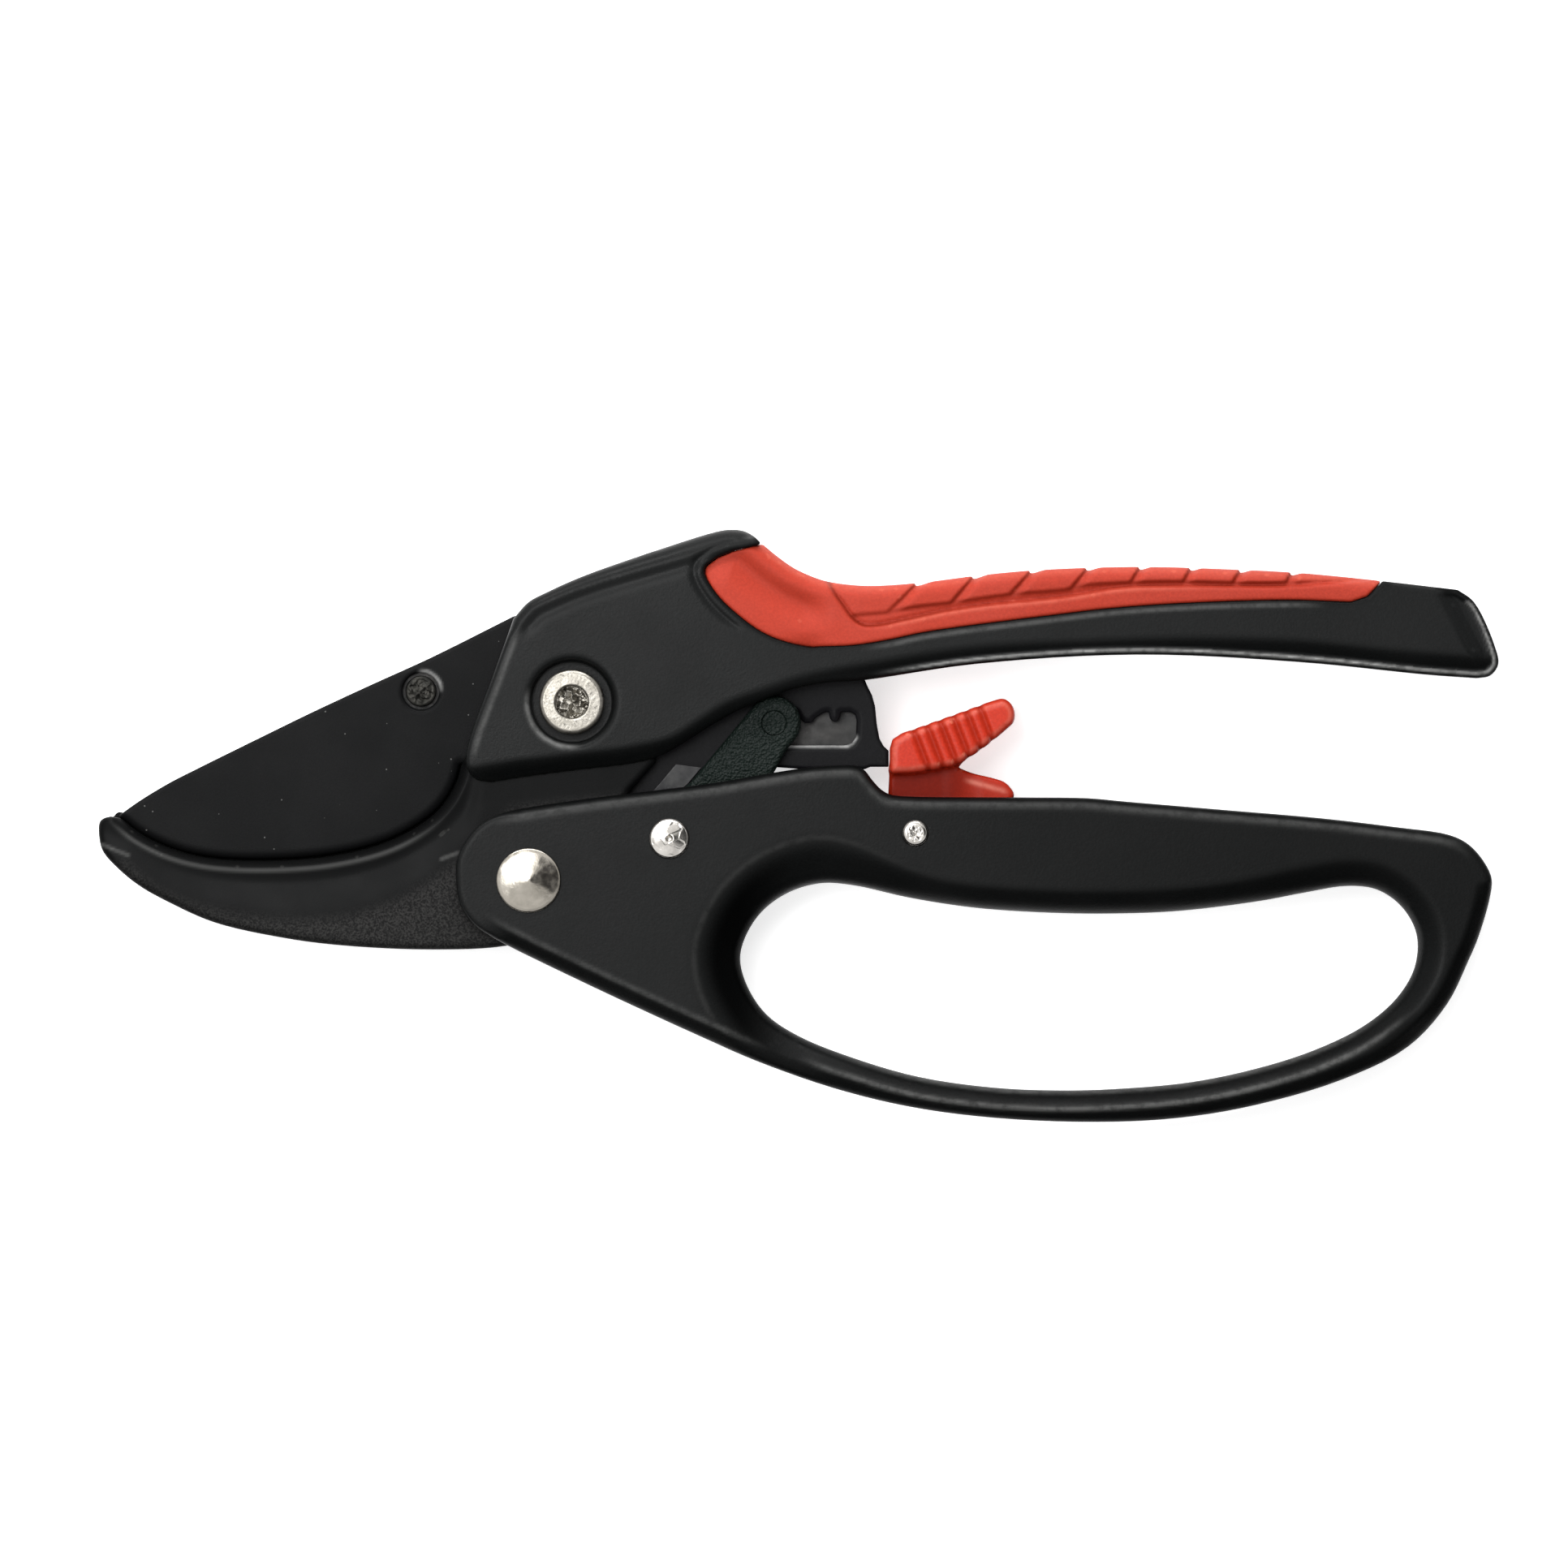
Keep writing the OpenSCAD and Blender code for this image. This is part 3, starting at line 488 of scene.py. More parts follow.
def make_lower():
    xs, ys = grid(-18.2, 137.2, -63.4, -8.6, 0.36)
    zs = z_handles(0.32)
    X, Y = np.meshgrid(xs, ys, indexing="ij")
    Z = zs[None, None, :]
    d = sdf(loop_curve(lower_out, 5), X, Y)
    dl = sdf(loop_curve(loop_in, 5), X, Y)
    din = -d
    # which way the nearest edge faces: the upper edge is rolled, the outer lower edge is bevelled
    gy = np.gradient(d, ys, axis=1)
    gx = np.gradient(d, xs, axis=0)
    up = S5((gy + 0.1) / 0.5) * S5((134 - X) / 6) * S5((X + 12) / 5)
    lowr = S5((0.15 - gy) / 0.5) * S5((X + 13.5) / 6)
    left = S5((57 - X) / 22)
    w = 3.7 + 3.2 * left + 0.6 * S5((X - 95) / 15) * S5((Y + 45) / 8)
    deep = 2.5 + 0.9 * left
    strand = S5(-sdf(strand_zone, X, Y) / 7.0 + 0.42)
    wide = np.clip(dl / w, 0, 1)
    scoop = deep * (0.55 * (1 - wide) ** 1.5 + 0.225 * (1 + np.cos(np.pi * wide)))
    w2 = np.minimum(w, 2.9)
    scoop2 = 1.5 * 0.5 * (1 + np.cos(np.pi * np.clip(dl / w2, 0, 1)))
    scoop = scoop * (1 - strand) + scoop2 * strand
    H = HALF - 1.6 * strand - scoop
    H = H - lowr * 0.75 * ramp(2.3 - din, 0.7) * (1 - 0.25 * strand)
    r = 0.75 + up * 1.15 + S5((1.5 - dl) / 1.0) * 0.9
    F = rext(np.maximum(d, -dl), H, np.clip(r, 0.5, 1.9), Z)
    F = smax(F, -np.maximum(sdf(lower_hollow, X, Y)[:, :, None], np.abs(Z) - CHAN), 0.35)
    for c, rr, rb, db_ in ((L, 2.5, 4.8, 1.6), (K, 2.0, 3.5, 1.4), (S, 1.5, 2.7, 1.2)):
        rc = np.hypot(X - c[0], Y - c[1])[:, :, None]
        F = np.maximum(F, rr + 0.03 - rc)
        F = smax(F, -np.maximum(rc - rb, HALF - db_ + Z), 0.3)
    o = field_piece("lower_handle_shell", F, xs, ys, zs)
    # painted shade: the scoop round the loop, its outer arc, the groove along the lower strand, the outer bevel and the
    # top rim, over a general darkening towards the right end
    bowl = S5((1 - wide) * 1.9) * (0.05 + 0.85 * S5((35 - X) / 11)) * (1 - strand)
    darker_to_right = 0.08 + 0.26 * S5((X - 5) / 100)
    arcl = 0.3 * bell(dl - w, 0.7) * left * (1 - strand)
    groove = 0.7 * bell(dl - 1.3, 0.75) * strand
    outer = 0.5 * lowr * S5((2.4 - din) / 0.5)
    rim = 0.6 * up * bell(din, 0.45)
    paint(o, "deep", darker_to_right + (1 - darker_to_right) * np.maximum.reduce([bowl, arcl, groove, outer, rim]), xs, ys)
    # painted highlights: lines along the top rim and the lower-left bevel, the strand's ridge and lip, and a faint arc
    # at the scoop's edge
    top_line = 0.075 * up * bell(din - 1.15, 0.42)
    low_line = 0.10 * lowr * bell(din - 2.35, 0.3) * (1 - strand) * S5((30 - X) / 8)
    ridge = 0.24 * strand * bell(dl - 2.75, 0.3)
    lip = 0.16 * strand * bell(dl - 0.3, 0.3)
    arc_line = 0.035 * left * (1 - strand) * bell(dl - w + 0.1, 0.35) * S5((din - 2.6) / 1.0)
    return paint(o, "painted_highlight", np.maximum.reduce([top_line, low_line, ridge, lip, arc_line]), xs, ys, lambda z: (np.abs(z) > HALF - 4.5) * 1.0)


def make_anvil():
    xs, ys = grid(-70.9, 13.9, -37.6, 10.6, 0.3)
    zs = np.arange(-6.0, 6.01, 0.3, dtype=np.float32)
    X, Y = np.meshgrid(xs, ys, indexing="ij")
    Z = zs[None, None, :]
    d = sdf(anvil_outline, X, Y)
    c2 = shifted(curve(contact), (0.2, -0.35))
    dc = np.full(X.shape, 1e9, np.float32)
    for (x0, y0), (x1, y1) in zip(c2[:-1], c2[1:]):
        ex, ey = x1 - x0, y1 - y0
        t = np.clip(((X - x0) * ex + (Y - y0) * ey) / (ex * ex + ey * ey), 0, 1)
        dc = np.minimum(dc, np.hypot(X - x0 - ex * t, Y - y0 - ey * t))
    # the rim beside the cutting edge sits lower, then the face swells and dishes out to the soft arc
    soft = curve([(-66, -23), (-60, -27.6), (-53.2, -30), (-42.5, -31.5), (-33.9, -31), (-25.3, -28.3), (-15.9, -21.8), (-9, -15)]) + \
        [(20, -12), (20, -60), (-80, -60), (-80, -24)]
    ds = sdf(soft, X, Y)
    left_jaw = S5((-13 - X) / 3)
    dish = 0.55 * S5(ds / 5.5) * S5((dc - 0.4) / 3.0) * left_jaw
    H = AO - dish - left_jaw * 1.12 * ramp(1.35 - dc, 0.3)
    din = -d
    r = 0.9 - 0.35 * left_jaw * S5((2 - dc) / 2)
    F = rext(d, H, r, Z)
    # the ledge the blade's edge closes over
    F = np.minimum(F, rext(np.maximum(dc - 0.9, X + 15.3), -0.15, 0.12, Z, lo=-AO + 0.9))
    slot = sdf(anvil_slot, X, Y)
    slot = np.minimum(slot, np.hypot(X, Y) - 19.5)
    slot = np.minimum(slot, np.hypot(X - L[0], Y - L[1]) - 8)
    F = smax(F, -np.maximum(slot[:, :, None], np.maximum(Z - 2.6, -2.8 - Z)), 0.25)
    F = np.maximum(F, 3.06 - np.hypot(X, Y)[:, :, None])
    F = np.maximum(F, 2.56 - np.hypot(X - L[0], Y - L[1])[:, :, None])
    o = field_piece("anvil_jaw_shell", F, xs, ys, zs)
    co = np.array([v.co for v in o.data.vertices]) * 1000 - M0
    g = trilinear(np.repeat((-ds)[:, :, None], 2, 2), xs, ys, np.array([-99, 99.0]), co)
    g = S5((g + 0.8) / 3.0)
    a = o.data.attributes.new("grain", "FLOAT", "POINT")
    a.data.foreach_set("value", g.astype(np.float32))

    def pale_line(p0, p1, wd):
        ex, ey = p1[0] - p0[0], p1[1] - p0[1]
        t = np.clip(((X - p0[0]) * ex + (Y - p0[1]) * ey) / (ex * ex + ey * ey), 0, 1)
        return bell(np.hypot(X - p0[0] - ex * t, Y - p0[1] - ey * t), wd)
    # painted highlight: a pale line along the ledge beside the blade, plus two short pale lines drawn by pale_line
    painted_highlight = 0.24 * bell(dc - 1.4, 0.24) * left_jaw * S5((-18 - X) / 8) * S5((X + 69) / 4)
    painted_highlight = np.maximum(painted_highlight, 0.4 * np.maximum(pale_line((-69.4, -21.1), (-65.5, -22.7), 0.15), pale_line((-19.3, -23.2), (-16.8, -22.3), 0.15)))
    paint(o, "painted_highlight", painted_highlight, xs, ys, lambda z: (np.abs(z) > 3.6) * 1.0)
    # painted shade: darker on the ledge beside the blade and just inside the outer edge
    dark = np.maximum(0.5 * left_jaw * S5((1.2 - dc) / 0.5), 0.4 * bell(din - 0.3, 0.6) * (dc > 2))
    return paint(o, "deep", dark, xs, ys)


def make_blade():
    xs, ys = grid(-68.2, 11.0, -24.6, 14.2, 0.3)
    zs = np.arange(-0.4, 2.61, 0.2, dtype=np.float32)
    X, Y = np.meshgrid(xs, ys, indexing="ij")
    Z = zs[None, None, :]
    d = sdf(blade_outline, X, Y)
    edge = sdf(curve(contact) + [(-90, -16), (-90, -60), (20, -60), (0, -9)], X, Y)
    H = BLADE_T - 0.3 * S5((1.1 - edge) / 1.1) * S5((-15 - X) / 2)
    F = rext(d, H, 0.28, Z, lo=0.0)
    F = np.maximum(F, 3.04 - np.hypot(X, Y)[:, :, None])
    rb = np.hypot(X - B[0], Y - B[1])[:, :, None]
    F = smax(F, -(rb - 2.7 - 0.5 * np.clip(Z - BLADE_T + 0.5, 0, 1)), 0.12)
    o = field_piece("blade_plate", F, xs, ys, zs)
    r2 = np.hypot(X - B[0], Y - B[1])
    a = np.arctan2(Y - B[1], X - B[0])
    # painted highlight: a pale crescent on the upper-right edge of the screw hole
    paint(o, "painted_highlight", 0.8 * bell(r2 - 2.95, 0.2) * S5((np.cos(a - math.radians(48)) - 0.6) / 0.3), xs, ys, lambda z: (z > 1) * 1.0)
    # painted shade along the cutting edge
    return paint(o, "deep", 0.5 * bell(edge, 0.5), xs, ys)


def make_rack():
    xs, ys = grid(6.4, 47.8, -15.0, 13.6, 0.2)
    zs = np.arange(-0.4, 2.61, 0.2, dtype=np.float32)
    X, Y = np.meshgrid(xs, ys, indexing="ij")
    Z = zs[None, None, :]
    d = sdf(rack_outline, X, Y)
    dw = sdf(window, X, Y)
    H = BLADE_T - 0.2 * S5((0.7 - dw) / 0.4)
    F = rext(np.maximum(d, -dw), H, 0.34, Z, lo=0.0)
    F = np.maximum(F, 1.23 - np.hypot(X - 25.6, Y + 6.6)[:, :, None])
    for c in ((37, 8.6), (41.3, 10.6)):
        F = np.maximum(F, 1.55 - np.hypot(X - c[0], Y - c[1])[:, :, None])
    o = field_piece("rack_plate", F, xs, ys, zs)
    # painted highlight: a pale line along the window's lower edge and at its lower-right corner
    low = bell(Y + 6.5, 0.22) * S5((X - 27) / 2) * S5((41.4 - X) / 0.8)
    corner = bell(dw - 0.1, 0.2) * S5((X - 40.2) / 1.0) * S5((-4.6 - Y) / 1.0)
    return paint(o, "painted_highlight", 0.85 * np.maximum(low, 0.8 * corner), xs, ys, lambda z: (z > 1.5) * 1.0)


def make_link():
    xs, ys = grid(8.6, 34.8, -26.2, 1.8, 0.2)
    zs = np.arange(-6.0, 6.01, 0.25, dtype=np.float32)
    X, Y = np.meshgrid(xs, ys, indexing="ij")
    Z = zs[None, None, :]
    d = sdf(link_outline, X, Y)
    F = rext(d, AO, 0.8, Z, lo=2.7)
    rk = np.hypot(X - K[0], Y - K[1])
    F = smin(F, rext(rk - 4.5, AO, 0.4, Z, lo=-AO), 0.3)
    F = np.maximum(F, 2.06 - rk[:, :, None])
    rp = np.hypot(X - P[0], Y - P[1])[:, :, None]
    F = smax(F, 1.78 - rp, 0.3)
    return field_piece("link_plate", F, xs, ys, zs)


def make_latch():
    xs, ys = grid(45.9, 66.6, -24.6, 1.6, 0.2)
    zs = np.arange(-7.0, 7.01, 0.25, dtype=np.float32)
    X, Y = np.meshgrid(xs, ys, indexing="ij")
    Z = zs[None, None, :]
    d = sdf(latch_pad, X, Y)
    u = 0.93 * X + 0.36 * Y
    k = (u - 45.5) / 2.06
    off = np.abs(k - np.round(k))
    wave = S5(1 - off / 0.36) * (k > -0.5) * (k < 5.5)
    H = 6.5 - 0.5 * wave
    # the ribs run on over the thumb's edge of the pad
    F1 = rext(d + 0.1 * wave * S5((1.6 + d) / 1.2), H, 1.25, Z)
    db = sdf(latch_body, X, Y)
    vis = S5((Y + 16.2) / 2.2)
    HB = (AO - 0.1) * (1 - vis) + vis * (2.9 + 1.9 * S5((X - 54.5) / 6.5))
    F2 = rext(db, HB, 0.7, Z)
    F = smin(F1, F2, 0.7)
    F = np.maximum(F, 1.56 - np.hypot(X - S[0], Y - S[1])[:, :, None])
    o = field_piece("thumb_latch_shell", F, xs, ys, zs)
    # painted shade: the rib valleys, the pad's lower edge, and the body set back below the pad where the pad's shadow
    # falls, less towards the prong
    paint(o, "deep", np.where(d < 0.15, 0.42 * wave * S5((0.6 - d) / 0.8) + 0.22 * bell(d + 0.1, 0.5) * (Y < -6), 0.74 - 0.34 * S5((X - 56) / 7)), xs, ys)
    # painted highlight: a streak on the prong and paler pad edges between the ribs
    streak = bell((Y + 11.9) + 0.28 * (X - 59.5), 0.35) * S5((X - 57.5) / 2) * S5((65 - X) / 1.5) * (d > 0.2)
    return paint(o, "painted_highlight", 0.35 * streak + 0.2 * bell(d + 0.7, 0.35) * (d < 0) * (1 - wave), xs, ys)


# ---------------------------------------------------------------- turned, peened and wound pieces
def lathe(name, c, profile, seg=128, rough=None):
    """A turned piece about the upright line through c. profile is (radius, z) from the top centre outwards and down to
    the bottom centre, and rough(x, y, r, z) adds a height to each point."""
    V, F = [], []
    rows = []
    for r, z in profile:
        if r < 1e-6:
            V.append((c[0], c[1], z + (rough(0, 0, 0, z) if rough else 0)))
            rows.append([len(V) - 1] * seg)
        else:
            row = []
            for i in range(seg):
                a = 2 * math.pi * i / seg
                x, y = r * math.cos(a), r * math.sin(a)
                V.append((c[0] + x, c[1] + y, z + (rough(x, y, r, z) if rough else 0)))
                row.append(len(V) - 1)
            rows.append(row)
    for a, b in zip(rows[:-1], rows[1:]):
        for i in range(seg):
            j = (i + 1) % seg
            f = [a[i], b[i], b[j], a[j]]
            f = [q for n, q in enumerate(f) if q != f[n - 1]]
            if len(f) > 2:
                F.append(f)
    return build(name, np.array(V), F)


def profile_of(points, step=0.12):
    out = []
    for (r0, z0), (r1, z1) in zip(points[:-1], points[1:]):
        n = max(1, int(math.ceil(math.hypot(r1 - r0, z1 - z0) / step)))
        out += [(r0 + (r1 - r0) * i / n, z0 + (z1 - z0) * i / n) for i in range(n)]
    return out + [points[-1]]


def facets(x, y, size, seed):
    """A patchwork of small tilted facets, from the cells of a Voronoi pattern."""
    d, pts = noise.voronoi(Vector((x / size, y / size, seed)))
    p = pts[0]
    h = noise.cell(Vector((p.x * 7.3 + 3.1, p.y * 5.7, seed)))
    k = noise.cell(Vector((p.x * 3.7, p.y * 9.1 + 7.7, seed + 2)))
    return (x / size - p.x) * (h - 0.5) * 2 + (y / size - p.y) * (k - 0.5) * 2


def make_bolt():
    z = HALF
    prof = profile_of([(0, z - 1.5), (2.3, z - 1.5), (2.42, z - 1.35), (2.45, z - 0.2), (2.6, z - 0.06), (4.25, z - 0.1),
        (4.6, z - 0.28), (4.8, z - 0.5), (4.8, z - 2.15), (4.7, z - 2.2), (3.02, z - 2.2), (3.0, z - 2.3)], 0.16)
    prof += profile_of([(3.0, z - 2.4), (3.0, -HALF + 0.5)], 1.5) + [(2.8, -HALF + 0.3), (0, -HALF + 0.3)]

    def rough(x, y, r, zz):
        if zz > z - 1.6 and r < 2.35:
            return 0.34 * facets(x, y, 0.85, 1.3) + 0.25 * (1 - (r / 2.35)) * 0.6
        if zz > z - 0.3 and 2.7 < r < 4.4:
            return 0.022 * noise.noise(Vector((x * 4.2, y * 4.2, 2.1))) + 0.018 * noise.noise(Vector((x * 9, y * 9, 5)))
        return 0
    return lathe("pivot_bolt", M, prof, 160, rough)


def make_l_rivet():
    z = HALF
    pts = [(0, z + 1.3), (0.3, z + 1.285), (0.9, z + 1.18), (1.8, z + 1.01), (2.7, z + 0.84), (3.6, z + 0.66), (4.2, z + 0.53), (4.55, z + 0.42),
           (4.75, z + 0.3), (4.8, z + 0.1), (4.78, z), (2.5, z)]
    prof = profile_of(pts, 0.12) + profile_of([(2.5, z - 0.3), (2.5, -HALF + 0.35)], 1.5) + [(2.3, -HALF + 0.1), (0, -HALF + 0.1)]

    def rough(x, y, r, zz):
        if zz < z + 0.3:
            return 0
        return 0.02 * noise.noise(Vector((x * 0.9, y * 0.9, 3.3))) + 0.004 * noise.noise(Vector((x * 5, y * 5, 8.3)))
    return lathe("lower_rivet", L, prof, 128, rough)


def make_k_rivet():
    z = HALF
    pts = [(0, z + 0.56), (0.28, z + 0.58), (0.42, z + 0.76), (0.55, z + 0.86), (0.75, z + 0.85), (1.6, z + 0.67), (2.3, z + 0.52),
           (2.7, z + 0.42), (2.92, z + 0.22), (3.0, z + 0.06), (2.98, z), (2.0, z)]
    prof = profile_of(pts, 0.1) + profile_of([(2.0, z - 0.3), (2.0, -HALF + 0.35)], 1.5) + [(1.8, -HALF + 0.1), (0, -HALF + 0.1)]

    def rough(x, y, r, zz):
        if zz < z + 0.25 or r < 0.6:
            return 0
        a = math.atan2(y, x)
        return 0.035 * facets(x, y, 1.3, 4.2) * min(1, (3 - r)) + 0.02 * math.sin(3 * a + 0.7) * r / 3
    return lathe("link_rivet_head", K, prof, 128, rough)


def make_s_rivet():
    z = HALF
    pts = [(0, z + 0.52), (0.7, z + 0.55), (1.3, z + 0.56), (1.62, z + 0.46), (1.86, z + 0.26), (1.99, z + 0.05), (1.97, z), (1.5, z)]
    prof = profile_of(pts, 0.08) + profile_of([(1.5, z - 0.3), (1.5, -HALF + 0.35)], 1.5) + [(1.3, -HALF + 0.1), (0, -HALF + 0.1)]

    def rough(x, y, r, zz):
        if zz < z + 0.4:
            return 0
        return 0.1 * facets(x, y, 0.55, 9.2) * max(0, 1 - r / 1.3)
    return lathe("latch_rivet_head", S, prof, 96, rough)


def make_screw():
    z = BLADE_T
    prof = profile_of([(0, z - 0.25), (1.95, z - 0.25), (2.2, z - 0.34), (2.3, z - 0.55), (2.3, 0.02), (1.7, 0.0)], 0.12) + \
        profile_of([(1.7, -0.2), (1.7, -2.3)], 0.8) + [(1.6, -2.4), (0, -2.4)]

    def rough(x, y, r, zz):
        if zz < z - 0.4:
            return 0
        f = 1 - S5((r - 1.5) / 0.6)
        return float(0.11 * facets(x, y, 0.6, 6.1) * f + 0.04 * noise.noise(Vector((x * 3.1, y * 3.1, 1.7))) * f)
    return lathe("blade_screw_head", B, prof, 96, rough)


def tube(name, path, r, seg=16):
    pts = np.array(path, float)
    tan = np.gradient(pts, axis=0)
    tan /= np.linalg.norm(tan, axis=1, keepdims=True)
    up = np.array([0, 0, 1.0])
    V, F = [], []
    for p, t in zip(pts, tan):
        a = np.cross(t, up); a /= np.linalg.norm(a)
        b = np.cross(a, t)
        for i in range(seg):
            w = 2 * math.pi * i / seg
            V.append(p + r * (math.cos(w) * a + math.sin(w) * b))
    n = len(pts)
    for k in range(n - 1):
        for i in range(seg):
            j = (i + 1) % seg
            F.append([k * seg + j, k * seg + i, (k + 1) * seg + i, (k + 1) * seg + j])
    # rounded ends
    for k, sgn in ((0, -1), (n - 1, 1)):
        V.append(pts[k] + sgn * tan[k] * r * 0.5)
        c = len(V) - 1
        for i in range(seg):
            j = (i + 1) % seg
            F.append([c, k * seg + i, k * seg + j] if sgn < 0 else [c, k * seg + j, k * seg + i])
    return build(name, np.array(V), F)


def make_spring():
    R = 5.2
    pa, pb = math.radians(223), math.radians(232 + 720)
    za, zb = -1.5, 1.4
    path = []
    ta = np.array([-math.cos(math.radians(133)), -math.sin(math.radians(133))])
    a0 = np.array([R * math.cos(pa), R * math.sin(pa)])
    for t in np.linspace(4.4, 0.3, 8):
        path.append((L[0] + a0[0] - ta[0] * t, L[1] + a0[1] - ta[1] * t, za))
    for i in range(151):
        f = i / 150
        a = pa + (pb - pa) * f
        path.append((L[0] + R * math.cos(a), L[1] + R * math.sin(a), za + (zb - za) * f))
    b0 = np.array([R * math.cos(pb), R * math.sin(pb)])
    tb = np.array([math.cos(math.radians(-38)), math.sin(math.radians(-38))])
    for t in np.linspace(0.3, 12.6, 20):
        path.append((L[0] + b0[0] + tb[0] * t, L[1] + b0[1] + tb[1] * t, zb))
    return tube("wire_spring", path, 0.62)


# ---------------------------------------------------------------- materials
def mat(name):
    m = bpy.data.materials.new(name)
    m.use_nodes = True
    nt = m.node_tree
    nt.nodes.clear()
    out = nt.nodes.new("ShaderNodeOutputMaterial")
    bs = nt.nodes.new("ShaderNodeBsdfPrincipled")
    nt.links.new(bs.outputs[0], out.inputs[0])
    return m, nt, bs


def node(nt, kind, **kw):
    n = nt.nodes.new(kind)
    for k, v in kw.items():
        setattr(n, k, v)
    return n


def noise_tex(nt, co, scale, detail=3.0, rough=0.55, w=None):
    n = node(nt, "ShaderNodeTexNoise")
    n.inputs["Scale"].default_value = scale
    n.inputs["Detail"].default_value = detail
    n.inputs["Roughness"].default_value = rough
    nt.links.new(co, n.inputs["Vector"])
    return n.outputs["Fac"] if "Fac" in n.outputs else n.outputs[0]


def mapr(nt, v, a, b, c, d, smooth=True):
    n = node(nt, "ShaderNodeMapRange")
    n.interpolation_type = "SMOOTHSTEP" if smooth else "LINEAR"
    for i, x in zip(("From Min", "From Max", "To Min", "To Max"), (a, b, c, d)):
        n.inputs[i].default_value = x
    nt.links.new(v, n.inputs["Value"])
    return n.outputs["Result"]


def mixc(nt, fac, a, b):
    n = node(nt, "ShaderNodeMix", data_type="RGBA")
    for k, v in ((0, fac), (6, a), (7, b)):
        if isinstance(v, (tuple, list)):
            n.inputs[k].default_value = (*v, 1)
        elif isinstance(v, float):
            n.inputs[k].default_value = v
        else:
            nt.links.new(v, n.inputs[k])
    return n.outputs[2]


def math2(nt, op, a, b=None):
    n = node(nt, "ShaderNodeMath", operation=op)
    for i, v in enumerate((a, b)):
        if v is None:
            continue
        if isinstance(v, float):
            n.inputs[i].default_value = v
        else:
            nt.links.new(v, n.inputs[i])
    return n.outputs[0]


def bump(nt, height, dist, strength, prev=None):
    n = node(nt, "ShaderNodeBump")
    n.inputs["Strength"].default_value = strength
    n.inputs["Distance"].default_value = dist
    nt.links.new(height, n.inputs["Height"])
    if prev is not None:
        nt.links.new(prev, n.inputs["Normal"])
    return n.outputs[0]


def plastic(name, dark, light, rough, spec, grain=3200.0, grain_d=0.00006, wear=0.5, wear_col=None, cloud=38.0,
            specks=0.0, pebble=None, coat=0.0, shade=0.12, highlight_col=(0.42, 0.42, 0.41)):
    """Moulded plastic or coating: cloudy colour, a fine moulded grain, edges rubbed a little paler, painted shade where
    the deep attribute is set and painted highlights where a second point attribute is set.
    """
    m, nt, bs = mat(name)
    tc = node(nt, "ShaderNodeTexCoord").outputs["Object"]
    c1 = noise_tex(nt, tc, cloud, 4.0, 0.6)
    c2 = noise_tex(nt, tc, grain, 2.0, 0.6)
    fac = mapr(nt, c1, 0.3, 0.7, 0.0, 1.0)
    col = mixc(nt, fac, dark, light)
    fine = mapr(nt, c2, 0.3, 0.75, 0.0, 0.42)
    lit = tuple(min(1, x * 1.35 + 0.001) for x in light)
    col = mixc(nt, fine, col, lit)
    geo = node(nt, "ShaderNodeNewGeometry")
    edge = mapr(nt, geo.outputs["Pointiness"], 0.52, 0.62, 0.0, wear)
    col = mixc(nt, edge, col, wear_col or tuple(min(1, x * 2.4 + 0.01) for x in light))
    if specks:
        v = node(nt, "ShaderNodeTexVoronoi")
        v.inputs["Scale"].default_value = 420.0
        nt.links.new(tc, v.inputs["Vector"])
        sp = mapr(nt, v.outputs["Distance"], 0.035, 0.06, specks, 0.0)
        col = mixc(nt, sp, col, (0.25, 0.25, 0.24))
    # painted shade: where the deep attribute is set the colour darkens and the specular drops
    painted_shade = node(nt, "ShaderNodeAttribute")
    painted_shade.attribute_name = "deep"
    col = mixc(nt, painted_shade.outputs["Fac"], col, tuple(x * shade for x in dark))
    # painted highlight: a paler colour where this point attribute is set, broken up by noise
    highlight_attr = node(nt, "ShaderNodeAttribute")
    highlight_attr.attribute_name = "painted_highlight"
    broken = mapr(nt, noise_tex(nt, tc, 700.0, 3.0, 0.6), 0.3, 0.6, 0.55, 1.0)
    col = mixc(nt, math2(nt, "MULTIPLY", highlight_attr.outputs["Fac"], broken), col, highlight_col)
    nt.links.new(col, bs.inputs["Base Color"])
    r1 = noise_tex(nt, tc, 90.0, 3.0, 0.5)
    nt.links.new(mapr(nt, r1, 0.3, 0.7, rough - 0.05, rough + 0.06), bs.inputs["Roughness"])
    b = bump(nt, c2, grain_d, 0.55)
    if pebble:
        v = node(nt, "ShaderNodeTexVoronoi")
        v.feature = "SMOOTH_F1"
        v.inputs["Scale"].default_value = pebble[0]
        nt.links.new(tc, v.inputs["Vector"])
        b = bump(nt, v.outputs["Distance"], pebble[1], 0.9, b)
    nt.links.new(b, bs.inputs["Normal"])
    nt.links.new(mapr(nt, painted_shade.outputs["Fac"], 0.0, 1.0, spec, spec * 0.12, False), bs.inputs["Specular IOR Level"])
    if coat:
        bs.inputs["Coat Weight"].default_value = coat
        bs.inputs["Coat Roughness"].default_value = 0.3
    return m


